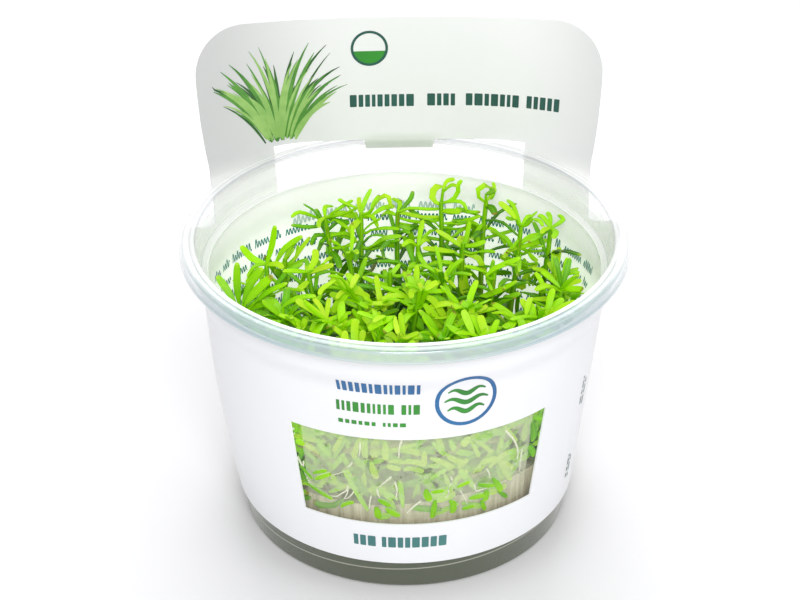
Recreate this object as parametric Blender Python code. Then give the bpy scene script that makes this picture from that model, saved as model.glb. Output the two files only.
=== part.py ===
# A clear cup of tissue-cultured stem plants, growing on nutrient gel, in a printed card sleeve
# whose back rises behind the rim as a header card. Z is up, the window in the sleeve faces -Y,
# and the origin is the centre of the cup's foot.
import math
import random

import bmesh
import bpy
from mathutils import Matrix, Vector

MM = 0.001
GAP = 0.3                    # clear space between pieces that touch, mm

# Cup, mm
CUP_SEGMENTS = 48
WALL = 0.7
EASE = 0.5                   # the small roundings at the foot and the rim
BASE_RADIUS = 36.05          # outer wall where it meets the foot
WALL_RISE = 0.1055           # how far the wall leans out for each mm of height
FOOT_INNER_RADIUS = 31.4
FOOT_RECESS = 0.8
FLOOR_Z = 1.5
FLOOR_FILLET = 1.2
LEDGE_Z = 59.4               # the step that a lid's plug seats on
LEDGE_RISE = 0.2
COLLAR_INNER = 43.0
RIM_INNER = 44.0
RIM_BEAD = 0.9
RIM_TOP_Z = 66.7
FLANGE_RADIUS = 46.83
FLANGE_UNDER_Z = 64.9
SKIRT_RADIUS = 47.5
SKIRT_Z = 63.6

# Sleeve and header card, mm and degrees
CARD = 0.35
CARD_TURN = 1.6              # the whole card sits turned a little on the cup
SLEEVE_BOTTOM_Z = 7.66
SLEEVE_TOP_Z = 58.4          # below the ledge; round the front the card goes on up to its hem
WRAP_RADIUS = 42.85          # middle of the card at this height, where it would lie on the wall
FLARE_START_Z = 53.0         # from here up the card opens to pass outside the collar
HEM_Z = 62.4                 # top edge of the card, hidden under the skirt
HEM_RUN = 14.0               # length along the card over which the hem drops to the header's side
LOOSE = 1.0                  # the card bows off the cup at -X, most at half its height
WINDOW_CENTRE = 3.55         # from the card's front line, towards +X
WINDOW_HALF_TOP = 39.15
WINDOW_HALF_BOTTOM = 37.45
WINDOW_Z = (18.6, 41.8)
SLOT_HALF = 29.5
SLOT_Z = (57.6, 67.2)
TAB_HALF = 8.0
TAB_Z = 64.7
TAB_TAPER = 0.96
HEADER_HALF = 46.0
HEADER_TOP_Z = 96.5
HEADER_PLAIN_Z = 79.0        # below this the header's rows run level
HEADER_ARCH = 0.4
CORNER = 11.5
FILLET = 4.0                 # the header's sides run out into the sleeve's top edge
LIFT_START_Z = 52.0          # from here up the wings leave the wall to pass outside the rim
WING_FROM = 20.0             # distances along the card between which the wings lift
WING_TO = 72.0
WING_FADE = 22.0
CURVE_AT_RIM = 63.0          # the card's bend radius beside the rim
CURVE_FADE = 27.0            # height over which the bend eases by a factor of e
HEADER_BACK_Y = 44.0
RIM_PUSH = 1.6               # the card leans back from the rim, and recovers above it
RIM_PUSH_FADE = 8.0
DENT = 3.4                   # the card dips forward over the back of the rim
DENT_FADE = 11.0
SIDE_CELLS = 9               # columns of card beside the window, and across it
WINDOW_CELLS = 10

# Gel and the tangle of roots and old stems on it, mm
GEL_TOP_Z = 22.5
GEL_SLOPE = 0.06             # the gel stands a little higher at +X
MAT_TOP_Z = 34.0
MAT_SEGMENTS = 24
MAT_CLEAR = 1.8              # the tangle's widest line stays this far inside the wall
MAT_LUMPS = ((5, 0.012, 0.6), (9, 0.01, 2.1))   # waves round the side: count, share, phase

# Shoots, mm and degrees
STEM_SIDES = 5
STEM_RADIUS = 0.75
STEM_TAPER = 0.25
STEM_SWAY = 1.2
STEM_BOW = 1.0
BAND = 1.0                   # height of the stem ring that a whorl grows from
WHORLS = 3
WHORL_STEP = 5.6
TIP_TO_WHORL = 1.6
LOWEST_WHORL = 2.5
WHORL_RISE = (50, 26, 10)    # how steeply the leaves stand, from the top whorl down
WHORL_LENGTH = (0.86, 1.0, 0.92)
LEGGY_FROM_Y = 14.0          # shoots behind this line have a leaf at every other place
RISE_SPREAD = 9
STEEPEST = 60
LEAF_WIDTH = 1.7
LEAF_THICK = 0.5
LEAF_LENGTH = (7.0, 10.0)
LEAF_CLEAR = 0.8             # half the width that a leaf keeps free around its line
LEAF_APART = 0.25
LEAF_ARCH = 0.05
LEAF_DROOP = 0.03
LEAF_TO_WALL = 1.2
LEAF_TO_MAT = 0.9
LEAF_HIGHEST_Z = 65.0
SHOOT_SEED = 11

# Tip of each shoot: x, y and height
SHOOT_TIPS = (
    (8.2, 27.5, 58.2), (18.4, 28.0, 58.2), (-1.5, 29.0, 55.1), (-9.8, 26.0, 56.3),
    (-17.8, 23.5, 56.9), (25.9, 19.8, 56.5), (-26.8, 19.5, 48.5), (13.0, 17.8, 53.4),
    (3.0, 18.6, 52.5), (-12.5, 14.6, 52.5), (-30.2, 9.5, 52.8), (-21.1, 8.0, 51.7),
    (-3.2, 8.4, 51.5), (8.2, 8.0, 50.5), (19.6, 8.2, 51.5), (32.2, 17.0, 57.5),
    (-35.0, -2.2, 48.0), (-9.8, -0.8, 49.5), (2.6, -2.4, 49.0), (13.6, -3.0, 48.5),
    (-16.6, -8.2, 49.5), (-26.0, -5.0, 48.0), (34.2, 5.0, 49.1), (24.2, -5.4, 48.5),
    (-5.4, -13.2, 48.5), (7.6, -13.4, 48.0), (17.6, -15.2, 48.0), (-25.4, -17.0, 46.5),
    (28.2, -17.4, 46.0), (-13.4, -22.4, 46.5), (-1.0, -24.4, 46.5), (11.6, -25.8, 46.0),
    (0.8, -34.0, 44.5),
)


def clear_scene():
    for old in list(bpy.data.objects):
        bpy.data.objects.remove(old, do_unlink=True)


def material(name, colour, roughness):
    made = bpy.data.materials.new(name)
    made.use_nodes = True
    shader = made.node_tree.nodes["Principled BSDF"]
    shader.inputs["Base Color"].default_value = (*colour, 1.0)
    shader.inputs["Roughness"].default_value = roughness
    shader.inputs["Metallic"].default_value = 0.0
    return made


def add_object(name, bm, finish, smooth_angle):
    mesh = bpy.data.meshes.new(name)
    bmesh.ops.recalc_face_normals(bm, faces=bm.faces[:])
    bm.transform(Matrix.Scale(MM, 4))
    bm.to_mesh(mesh)
    bm.free()
    mesh.materials.append(finish)
    mesh.shade_smooth()
    mesh.set_sharp_from_angle(angle=math.radians(smooth_angle))
    made = bpy.data.objects.new(name, mesh)
    bpy.context.scene.collection.objects.link(made)
    return made


# A profile of (radius, height) points that starts and ends on the axis, turned about Z
def turned(profile, segments):
    bm = bmesh.new()
    points = [bm.verts.new((radius, 0.0, height)) for radius, height in profile]
    edges = [bm.edges.new(pair) for pair in zip(points, points[1:])]
    bmesh.ops.spin(
        bm, geom=points + edges, cent=(0, 0, 0), axis=(0, 0, 1),
        angle=math.tau, steps=segments, use_merge=True,
    )
    bmesh.ops.remove_doubles(bm, verts=bm.verts[:], dist=0.001)
    return bm


def clamp(value):
    return min(1.0, max(0.0, value))


def smooth(value):
    share = clamp(value)
    return share * share * (3 - 2 * share)


def wall_radius(z):
    return BASE_RADIUS + WALL_RISE * z


def inner_radius(z):
    return wall_radius(z) - WALL


def make_cup():
    profile = [
        (0.0, FOOT_RECESS),
        (FOOT_INNER_RADIUS - EASE, FOOT_RECESS),
        (FOOT_INNER_RADIUS, 0.0),
        (BASE_RADIUS - EASE, 0.0),
        (wall_radius(EASE), EASE),
        (wall_radius(LEDGE_Z - WALL), LEDGE_Z - WALL),
        (COLLAR_INNER + WALL, LEDGE_Z - WALL / 2),
        (RIM_INNER + WALL, FLANGE_UNDER_Z),
        (FLANGE_RADIUS - WALL, FLANGE_UNDER_Z),
        (SKIRT_RADIUS - WALL, SKIRT_Z),
        (SKIRT_RADIUS, SKIRT_Z),
        (FLANGE_RADIUS, RIM_TOP_Z - EASE),
        (RIM_INNER + RIM_BEAD, RIM_TOP_Z),
        (RIM_INNER, RIM_TOP_Z - EASE),
        (COLLAR_INNER, LEDGE_Z + LEDGE_RISE),
        (inner_radius(LEDGE_Z), LEDGE_Z),
        (inner_radius(FLOOR_Z + FLOOR_FILLET), FLOOR_Z + FLOOR_FILLET),
        (inner_radius(FLOOR_Z) - FLOOR_FILLET, FLOOR_Z),
        (0.0, FLOOR_Z),
    ]
    clear_plastic = material("clear_plastic", (0.88, 0.92, 0.91), 0.12)
    add_object("cup", turned(profile, CUP_SEGMENTS), clear_plastic, 35)


# The outside of the collar between the ledge and the flange
def collar_radius(z):
    ledge_under = LEDGE_Z - WALL / 2
    rise = (RIM_INNER - COLLAR_INNER) / (FLANGE_UNDER_Z - ledge_under)
    return COLLAR_INNER + WALL + rise * (z - ledge_under)


# Radius of the wrapped card at a height and a turn from +Y
def wrap_radius(z, around):
    rise = clamp((z - SLEEVE_BOTTOM_Z) / (SLEEVE_TOP_Z - SLEEVE_BOTTOM_Z))
    slack = max(0.0, -math.sin(around)) ** 2 * math.sin(math.pi * rise)
    on_wall = WRAP_RADIUS + WALL_RISE * (z - SLEEVE_TOP_Z) + LOOSE * slack
    on_collar = collar_radius(z) + GAP + CARD / 2
    flare = smooth((z - FLARE_START_Z) / (SLEEVE_TOP_Z - FLARE_START_Z))
    return on_wall + (on_collar - on_wall) * flare


# Height of the sleeve's top edge at a distance along the card from the header's centre line
def hem_height(across):
    beyond = abs(across) - HEADER_HALF - FILLET
    return SLEEVE_TOP_Z + (HEM_Z - SLEEVE_TOP_Z) * smooth(beyond / HEM_RUN)


# Half width of the header card at a height, with the fillet where it leaves the sleeve
def header_half(z):
    rise = clamp((z - SLEEVE_TOP_Z) / (SLOT_Z[1] - SLEEVE_TOP_Z))
    return HEADER_HALF + FILLET * (1.0 - rise) ** 2


def header_top(across):
    arch = HEADER_ARCH * (across / HEADER_HALF) ** 2
    into_corner = max(0.0, abs(across) - (HEADER_HALF - CORNER))
    drop = CORNER - math.sqrt(max(0.0, CORNER**2 - into_corner**2))
    return HEADER_TOP_Z - arch - drop


# The free card above the sleeve: bent round the rim, flatter towards its top
def card_point(across, z):
    height = max(z, SKIRT_Z)
    bend = CURVE_AT_RIM * math.exp((height - SKIRT_Z) / CURVE_FADE)
    back = HEADER_BACK_Y + RIM_PUSH * math.exp(-(height - SKIRT_Z) / RIM_PUSH_FADE)
    inward = max(0.0, 1.0 - (across / SLOT_HALF) ** 2) ** 2
    dent = DENT * inward * math.exp(-abs(height - SLOT_Z[1]) / DENT_FADE)
    turn = across / bend
    return Vector((bend * math.sin(turn), back - bend * (1.0 - math.cos(turn)) - dent, z))


# How much of the lift a place on the sleeve takes: the wings all of it, the front none
def wing_share(across):
    rise = smooth((abs(across) - WING_FROM) / (SLOT_HALF - WING_FROM))
    return rise * smooth((WING_TO - abs(across)) / WING_FADE)


def sleeve_point(across, z):
    around = across / WRAP_RADIUS
    radius = wrap_radius(z, around)
    wrapped = Vector((radius * math.sin(around), radius * math.cos(around), z))
    lift = clamp((z - LIFT_START_Z) / (SKIRT_Z - LIFT_START_Z)) ** 3
    share = 1.0 if z >= SKIRT_Z else wing_share(across)
    return wrapped.lerp(card_point(across, z), lift * share)


def evenly(start, end, cells):
    return [start + (end - start) * step / cells for step in range(cells)]


# Distances along the card from the header's centre line: half the slot, then the wing,
# whose columns crowd towards the card's side
def header_columns(z):
    slot = [0.0] + evenly(TAB_HALF, SLOT_HALF, 3) + [SLOT_HALF]
    wing_width = header_half(z) - SLOT_HALF
    wing = [SLOT_HALF + wing_width * (1.0 - (1.0 - step / 5) ** 1.5) for step in range(1, 6)]
    right = slot + wing
    return [-across for across in reversed(right[1:])] + right


# The rest of the way round the sleeve, past both sides of the window
def side_and_window_columns(z):
    low, high = WINDOW_Z
    share = (z - low) / (high - low)
    half = WINDOW_HALF_BOTTOM + (WINDOW_HALF_TOP - WINDOW_HALF_BOTTOM) * share
    edge = math.degrees((HEADER_HALF + FILLET) / WRAP_RADIUS)
    near = 180.0 - WINDOW_CENTRE - half
    far = 180.0 - WINDOW_CENTRE + half
    angles = evenly(edge, near, SIDE_CELLS) + evenly(near, far, WINDOW_CELLS)
    angles += evenly(far, 360.0 - edge, SIDE_CELLS + 1)
    turns = [angle if angle <= 180.0 else angle - 360.0 for angle in angles[1:]]
    return [math.radians(angle) * WRAP_RADIUS for angle in turns]


def make_sleeve():
    bm = bmesh.new()
    header_cells = len(header_columns(SLEEVE_TOP_Z)) - 1
    slot_first = header_cells // 2 - 4
    slot_cells = range(slot_first, slot_first + 8)
    tab_cells = range(slot_first + 3, slot_first + 5)
    window_first = header_cells + SIDE_CELLS
    window_cells = range(window_first, window_first + WINDOW_CELLS)

    def ring_row(z):
        columns = header_columns(z) + side_and_window_columns(z)
        return [bm.verts.new(sleeve_point(across, z)) for across in columns]

    half_lifted = (LIFT_START_Z + SLEEVE_TOP_Z) / 2
    ring_heights = [SLEEVE_BOTTOM_Z, *WINDOW_Z, LIFT_START_Z, half_lifted, SLOT_Z[0], SLEEVE_TOP_Z]
    rows = [ring_row(z) for z in ring_heights]
    for low, high, z in zip(rows, rows[1:], ring_heights):
        for cell in range(len(low)):
            following = (cell + 1) % len(low)
            in_window = z == WINDOW_Z[0] and cell in window_cells
            in_slot = z == SLOT_Z[0] and cell in slot_cells
            if not in_window and not in_slot:
                bm.faces.new((low[cell], low[following], high[following], high[cell]))

    # the hem under the skirt, from one side of the header round the front to the other
    top_row = rows[-1]
    side_columns = side_and_window_columns(SLEEVE_TOP_Z)
    hem = [bm.verts.new(sleeve_point(a, hem_height(a))) for a in side_columns]
    first = header_cells + 1
    for step in range(len(hem) - 1):
        low = first + step
        bm.faces.new((top_row[low], top_row[low + 1], hem[step + 1], hem[step]))
    bm.faces.new((top_row[header_cells], top_row[first], hem[0]))
    bm.faces.new((top_row[-1], top_row[0], hem[-1]))

    # the wings beside the slot, then the header above it
    slot_top = SLOT_Z[1]
    wing_heights = [(SLEEVE_TOP_Z + SKIRT_Z) / 2, SKIRT_Z, (SKIRT_Z + slot_top) / 2, slot_top]
    header_rows = [rows[-1][: header_cells + 1]]
    for z in wing_heights:
        header_rows.append([bm.verts.new(sleeve_point(a, z)) for a in header_columns(z)])
    full_columns = header_columns(slot_top)
    for z in ((slot_top + HEADER_PLAIN_Z) / 2, HEADER_PLAIN_Z):
        header_rows.append([bm.verts.new(sleeve_point(a, z)) for a in full_columns])
    for share in (0.4, 0.75, 1.0):
        tops = [HEADER_PLAIN_Z + share * (header_top(a) - HEADER_PLAIN_Z) for a in full_columns]
        header_rows.append([bm.verts.new(sleeve_point(*place)) for place in zip(full_columns, tops)])
    for level, (low, high) in enumerate(zip(header_rows, header_rows[1:])):
        for cell in range(header_cells):
            if level >= len(wing_heights) or cell not in slot_cells:
                bm.faces.new((low[cell], low[cell + 1], high[cell + 1], high[cell]))

    # the tab that hangs from the slot's top edge and hooks inside the rim
    slot_edge = header_rows[len(wing_heights)]
    tab_columns = [full_columns[cell] for cell in (*tab_cells, tab_cells[-1] + 1)]
    tip = [bm.verts.new(sleeve_point(a * TAB_TAPER, TAB_Z)) for a in tab_columns]
    for step, cell in enumerate(tab_cells):
        bm.faces.new((tip[step], tip[step + 1], slot_edge[cell + 1], slot_edge[cell]))

    loose = [vert for vert in bm.verts if not vert.link_faces]
    bmesh.ops.delete(bm, geom=loose, context="VERTS")
    bm.transform(Matrix.Rotation(math.radians(CARD_TURN), 4, "Z"))
    printed_card = material("printed_card", (0.93, 0.93, 0.95), 0.4)
    sleeve = add_object("sleeve", bm, printed_card, 40)
    thicken = sleeve.modifiers.new("thickness", "SOLIDIFY")
    thicken.thickness = CARD * MM
    thicken.offset = 0.0
    thicken.use_even_offset = True


def gel_height(x):
    return GEL_TOP_Z + GEL_SLOPE * x


def make_gel():
    low = FLOOR_Z + GAP
    shoulder = low + FLOOR_FILLET
    profile = [
        (0.0, low),
        (inner_radius(low) - FLOOR_FILLET - GAP, low),
        (inner_radius(shoulder) - GAP, shoulder),
        (inner_radius(GEL_TOP_Z) - GAP, GEL_TOP_Z),
        (0.0, GEL_TOP_Z),
    ]
    bm = turned(profile, CUP_SEGMENTS)
    for vert in bm.verts:
        if vert.co.z > shoulder + GAP:
            vert.co.z = gel_height(vert.co.x)
    add_object("gel", bm, material("gel", (0.33, 0.34, 0.22), 0.15), 35)


# A closed low mass with a lumpy side, flat on top where the shoots leave it
def make_root_mat():
    reach = inner_radius(GEL_TOP_Z) - MAT_CLEAR
    bulge = (MAT_TOP_Z - GEL_TOP_Z) / 3
    profile = [
        (0.0, GEL_TOP_Z),
        (reach - 1.5, GEL_TOP_Z),
        (reach, GEL_TOP_Z + bulge),
        (reach, MAT_TOP_Z - bulge),
        (reach - 1.5, MAT_TOP_Z),
        (0.0, MAT_TOP_Z),
    ]
    bm = turned(profile, MAT_SEGMENTS)
    for vert in bm.verts:
        around = math.atan2(vert.co.y, vert.co.x)
        lump = 1.0 + sum(share * math.sin(n * around + phase) for n, share, phase in MAT_LUMPS)
        vert.co.x *= lump
        vert.co.y *= lump
        if vert.co.z < GEL_TOP_Z + bulge / 2:
            vert.co.z = gel_height(vert.co.x) + GAP
    add_object("root_mat", bm, material("roots", (0.46, 0.5, 0.24), 0.6), 40)


# One shoot's line: a stem that leans and curves from the mat to its tip
class Stem:
    def __init__(self, tip, rng):
        sway = Vector((rng.uniform(-1, 1), rng.uniform(-1, 1), 0.0)) * STEM_SWAY
        bow = Vector((rng.uniform(-1, 1), rng.uniform(-1, 1), 0.0)) * STEM_BOW
        self.tip = Vector(tip)
        self.foot = Vector((tip[0] * 0.95, tip[1] * 0.95, MAT_TOP_Z + GAP)) + sway
        self.middle = (self.foot + self.tip) / 2 + bow

    def at(self, share):
        low = self.foot.lerp(self.middle, share)
        return low.lerp(self.middle.lerp(self.tip, share), share)


# Nearest distance between two straight stretches
def stretch_distance(a, b, c, d):
    u = b - a
    v = d - c
    w = a - c
    uu, uv, vv, uw, vw = u.dot(u), u.dot(v), v.dot(v), u.dot(w), v.dot(w)
    across = uu * vv - uv * uv
    s = clamp((uv * vw - vv * uw) / across) if across > 1e-9 else 0.0
    t = clamp((uv * s + vw) / vv)
    s = clamp((uv * t - uw) / uu)
    return ((a + u * s) - (c + v * t)).length


# A leaf's line: out of the stem's side, arching a little, with its tip drooping
def leaf_line(start, heading, rise, length):
    out = Vector((math.cos(heading), math.sin(heading), 0.0))
    along = out * math.cos(rise) + Vector((0.0, 0.0, math.sin(rise)))
    side = out.cross(Vector((0.0, 0.0, 1.0))).normalized()
    over = side.cross(along)
    middle = start + along * (0.5 * length) + over * (LEAF_ARCH * length)
    tip = start + along * length - over * (LEAF_DROOP * length)
    return middle, tip, side, over


def inside_cup(point):
    reach = inner_radius(min(point.z, LEDGE_Z)) - LEAF_TO_WALL
    above_mat = point.z > MAT_TOP_Z + LEAF_TO_MAT
    return above_mat and point.z < LEAF_HIGHEST_Z and math.hypot(point.x, point.y) < reach


# Leaves are placed one by one, each where it clears the wall and everything placed before it
def grow_shoots():
    rng = random.Random(SHOOT_SEED)
    stems = [Stem(tip, rng) for tip in SHOOT_TIPS]
    taken = []
    for owner, stem in enumerate(stems):
        points = [stem.at(step / 3) for step in range(4)]
        for start, end in zip(points, points[1:]):
            taken.append((owner, "stem", start, end, STEM_RADIUS))
    far_off = 2.4 * LEAF_LENGTH[1]

    def clear(owner, kind, start, end, radius):
        for other, other_kind, a, b, other_radius in taken:
            same = other == owner
            if same and (other_kind == "stem" or kind == other_kind == "inner"):
                continue
            reach = radius + other_radius + (0.0 if same else LEAF_APART)
            if (start - a).length < far_off and stretch_distance(start, end, a, b) < reach:
                return False
        return True

    tries = [
        (shorter, math.radians(lift), math.radians(turn))
        for shorter in (1.0, 0.85, 0.7)
        for lift in (0, 12, -12, 24)
        for turn in (0, 12, -12)
    ]
    shoots = []
    for owner, stem in enumerate(stems):
        tall = stem.tip.z - stem.foot.z
        levels = [tall - TIP_TO_WHORL - WHORL_STEP * level for level in range(WHORLS)]
        levels = [level for level in levels if level > LOWEST_WHORL]
        turn_of_stem = rng.uniform(0.0, math.tau)
        whorls = []
        for level, up in enumerate(levels):
            share = up / tall
            centre = stem.at(share)
            phase = turn_of_stem + math.pi * (level % 2) / STEM_SIDES
            leaves = []
            for number in range(0, STEM_SIDES, 2 if stem.tip.y > LEGGY_FROM_Y else 1):
                heading = phase + math.tau * number / STEM_SIDES
                rise = math.radians(WHORL_RISE[level] + rng.uniform(-1, 1) * RISE_SPREAD)
                length = rng.uniform(*LEAF_LENGTH) * WHORL_LENGTH[level]
                start = centre + STEM_RADIUS * Vector((math.cos(heading), math.sin(heading), 0))
                for shorter, lift, turn in tries:
                    steep = min(rise + lift, math.radians(STEEPEST))
                    line = leaf_line(start, heading + turn, steep, length * shorter)
                    middle, tip = line[:2]
                    if (
                        inside_cup(middle)
                        and inside_cup(tip)
                        and clear(owner, "inner", start, middle, LEAF_CLEAR)
                        and clear(owner, "outer", middle, tip, LEAF_CLEAR)
                    ):
                        taken.append((owner, "inner", start, middle, LEAF_CLEAR))
                        taken.append((owner, "outer", middle, tip, LEAF_CLEAR))
                        leaves.append((number, line))
                        break
            whorls.append((share, phase, leaves))
        shoots.append((stem, whorls))
    return shoots


# The stem as rings of corners, a pair of rings for each whorl, closed at both ends
def make_stem(bm, stem, whorls):
    half = BAND / 2 / (stem.tip.z - stem.foot.z)
    levels = [(0.0, whorls[-1][1])]
    for share, phase, _ in reversed(whorls):
        levels += [(share - half, phase), (share + half, phase)]
    rings = []
    for share, phase in levels:
        centre = stem.at(share)
        radius = STEM_RADIUS * (1.0 - STEM_TAPER * share)
        ring = []
        for number in range(STEM_SIDES):
            turn = phase + math.tau * (number - 0.5) / STEM_SIDES
            corner = Vector((math.cos(turn), math.sin(turn), 0.0)) * radius
            ring.append(bm.verts.new(centre + corner))
        rings.append(ring)
    bm.faces.new(rings[0][::-1])
    bands = []
    for low, high in zip(rings, rings[1:]):
        band = []
        for number in range(STEM_SIDES):
            after = (number + 1) % STEM_SIDES
            band.append(bm.faces.new((low[number], low[after], high[after], high[number])))
        bands.append(band)
    tip = bm.verts.new(stem.tip)
    for number in range(STEM_SIDES):
        bm.faces.new((rings[-1][number], rings[-1][(number + 1) % STEM_SIDES], tip))
    return bands[1::2]


# A leaf is pulled out of one side of its stem ring, widened, and closed to a point
def pull_leaf(bm, face, middle, tip, side, over):
    start = face.calc_center_median()
    blade = bmesh.ops.extrude_discrete_faces(bm, faces=[face])["faces"][0]
    for vert in blade.verts:
        away = vert.co - start
        across = side if away.dot(side) > 0 else -side
        above = over if away.z > 0 else -over
        vert.co = middle + across * (LEAF_WIDTH / 2) + above * (LEAF_THICK / 2)
    end = bmesh.ops.extrude_discrete_faces(bm, faces=[blade])["faces"][0]
    bmesh.ops.pointmerge(bm, verts=end.verts[:], merge_co=tip)


def make_shoots():
    leaf_green = material("leaf_green", (0.36, 0.62, 0.08), 0.45)
    for number, (stem, whorls) in enumerate(grow_shoots(), start=1):
        bm = bmesh.new()
        bands = make_stem(bm, stem, whorls)
        for band, (_, _, leaves) in zip(bands, reversed(whorls)):
            for place, line in leaves:
                pull_leaf(bm, band[place], *line)
        add_object(f"shoot_{number:02d}", bm, leaf_green, 30)


def main():
    clear_scene()
    make_cup()
    make_sleeve()
    make_gel()
    make_root_mat()
    make_shoots()


main()
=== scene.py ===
import math
import random

import bmesh
import bpy
import numpy as np
from mathutils import Matrix, Vector


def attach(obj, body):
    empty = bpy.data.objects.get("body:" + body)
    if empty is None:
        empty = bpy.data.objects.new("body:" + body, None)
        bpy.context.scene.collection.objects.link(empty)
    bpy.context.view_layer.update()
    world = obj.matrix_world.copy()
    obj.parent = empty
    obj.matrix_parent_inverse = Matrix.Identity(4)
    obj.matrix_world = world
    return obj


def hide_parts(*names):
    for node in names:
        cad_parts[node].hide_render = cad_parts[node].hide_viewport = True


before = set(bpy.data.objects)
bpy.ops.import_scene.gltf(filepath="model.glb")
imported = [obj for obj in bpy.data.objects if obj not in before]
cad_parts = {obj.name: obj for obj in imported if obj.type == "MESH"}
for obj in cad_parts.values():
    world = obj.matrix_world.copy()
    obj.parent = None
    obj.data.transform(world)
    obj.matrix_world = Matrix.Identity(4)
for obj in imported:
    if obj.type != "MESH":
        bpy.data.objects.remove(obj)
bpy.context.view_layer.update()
mm = 0.001
perMetre = 1000.0
up = Vector((0, 0, 1))


# Small helpers for modelling as by hand

def deselect():
    if bpy.context.object and bpy.context.object.mode == "EDIT":
        bpy.ops.object.mode_set(mode="OBJECT")
    bpy.ops.object.select_all(action="DESELECT")


def pick(*chosen):
    deselect()
    for item in chosen:
        item.select_set(True)
    bpy.context.view_layer.objects.active = chosen[0]


def named(name):
    made = bpy.context.object
    made.name = name
    made.data.name = name
    return made


def applyPlace(item):  # the place goes into the mesh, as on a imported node
    pick(item)
    bpy.ops.object.transform_apply(location=True, rotation=True, scale=True)


def joined(name, items):
    pick(*items)
    if len(items) > 1:
        bpy.ops.object.join()
    return named(name)


def modify(item, kind, **settings):
    pick(item)
    made = item.modifiers.new(kind.lower(), kind)
    for key, value in settings.items():
        setattr(made, key, value)
    bpy.ops.object.modifier_apply(modifier=made.name)


# In edit mode with nothing picked, so that faces can be picked by their place afterwards
def pickNone(item, elements):
    pick(item)
    bpy.ops.object.mode_set(mode="EDIT")
    bpy.ops.mesh.select_mode(type=elements)
    bpy.ops.mesh.select_all(action="DESELECT")
    bpy.ops.object.mode_set(mode="OBJECT")


def faceOutwards(item, merge=0.0):
    pick(item)
    bpy.ops.object.mode_set(mode="EDIT")
    bpy.ops.mesh.select_all(action="SELECT")
    if merge:
        bpy.ops.mesh.remove_doubles(threshold=merge * mm)
    bpy.ops.mesh.normals_make_consistent(inside=False)
    bpy.ops.object.mode_set(mode="OBJECT")


def smoothBy(item, angle):
    pick(item)
    bpy.ops.object.shade_smooth_by_angle(angle=math.radians(angle))


def wear(item, material, slotName, *nodes):
    item.data.materials.clear()
    item.data.materials.append(material)
    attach(item, "root")
    if nodes:
        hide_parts(*nodes)


def smoothStep(value):
    share = min(1.0, max(0.0, value))
    return share * share * (3 - 2 * share)


# A ring is extruded and resized through (radius, height) points, from the foot's centre round
# the wall and back to the floor's centre
def turnRings(name, profile, segments):
    deselect()
    radius, height = profile[0]
    bpy.ops.mesh.primitive_circle_add(
        vertices=segments, radius=radius * mm, fill_type="TRIFAN", location=(0, 0, height * mm)
    )
    made = named(name)
    applyPlace(made)
    pickNone(made, "VERT")
    for vert in made.data.vertices:
        vert.select = vert.co.xy.length > radius * mm / 2
    bpy.ops.object.mode_set(mode="EDIT")
    bpy.ops.mesh.select_mode(type="EDGE")
    bpy.ops.mesh.region_to_loop()
    for radius, height in profile[1:]:
        bpy.ops.mesh.extrude_edges_move()
        ring = bmesh.from_edit_mesh(made.data)
        live = [vert for vert in ring.verts if vert.select]
        now = live[0].co
        grow = radius * mm / now.xy.length
        bpy.ops.transform.resize(value=(grow, grow, 1), center_override=(0, 0, now.z))
        bpy.ops.transform.translate(value=(0, 0, height * mm - live[0].co.z))
    bpy.ops.mesh.edge_face_add()
    faceOutwards(made)
    return made


# Shader sums are written as Python sums on sockets

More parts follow.
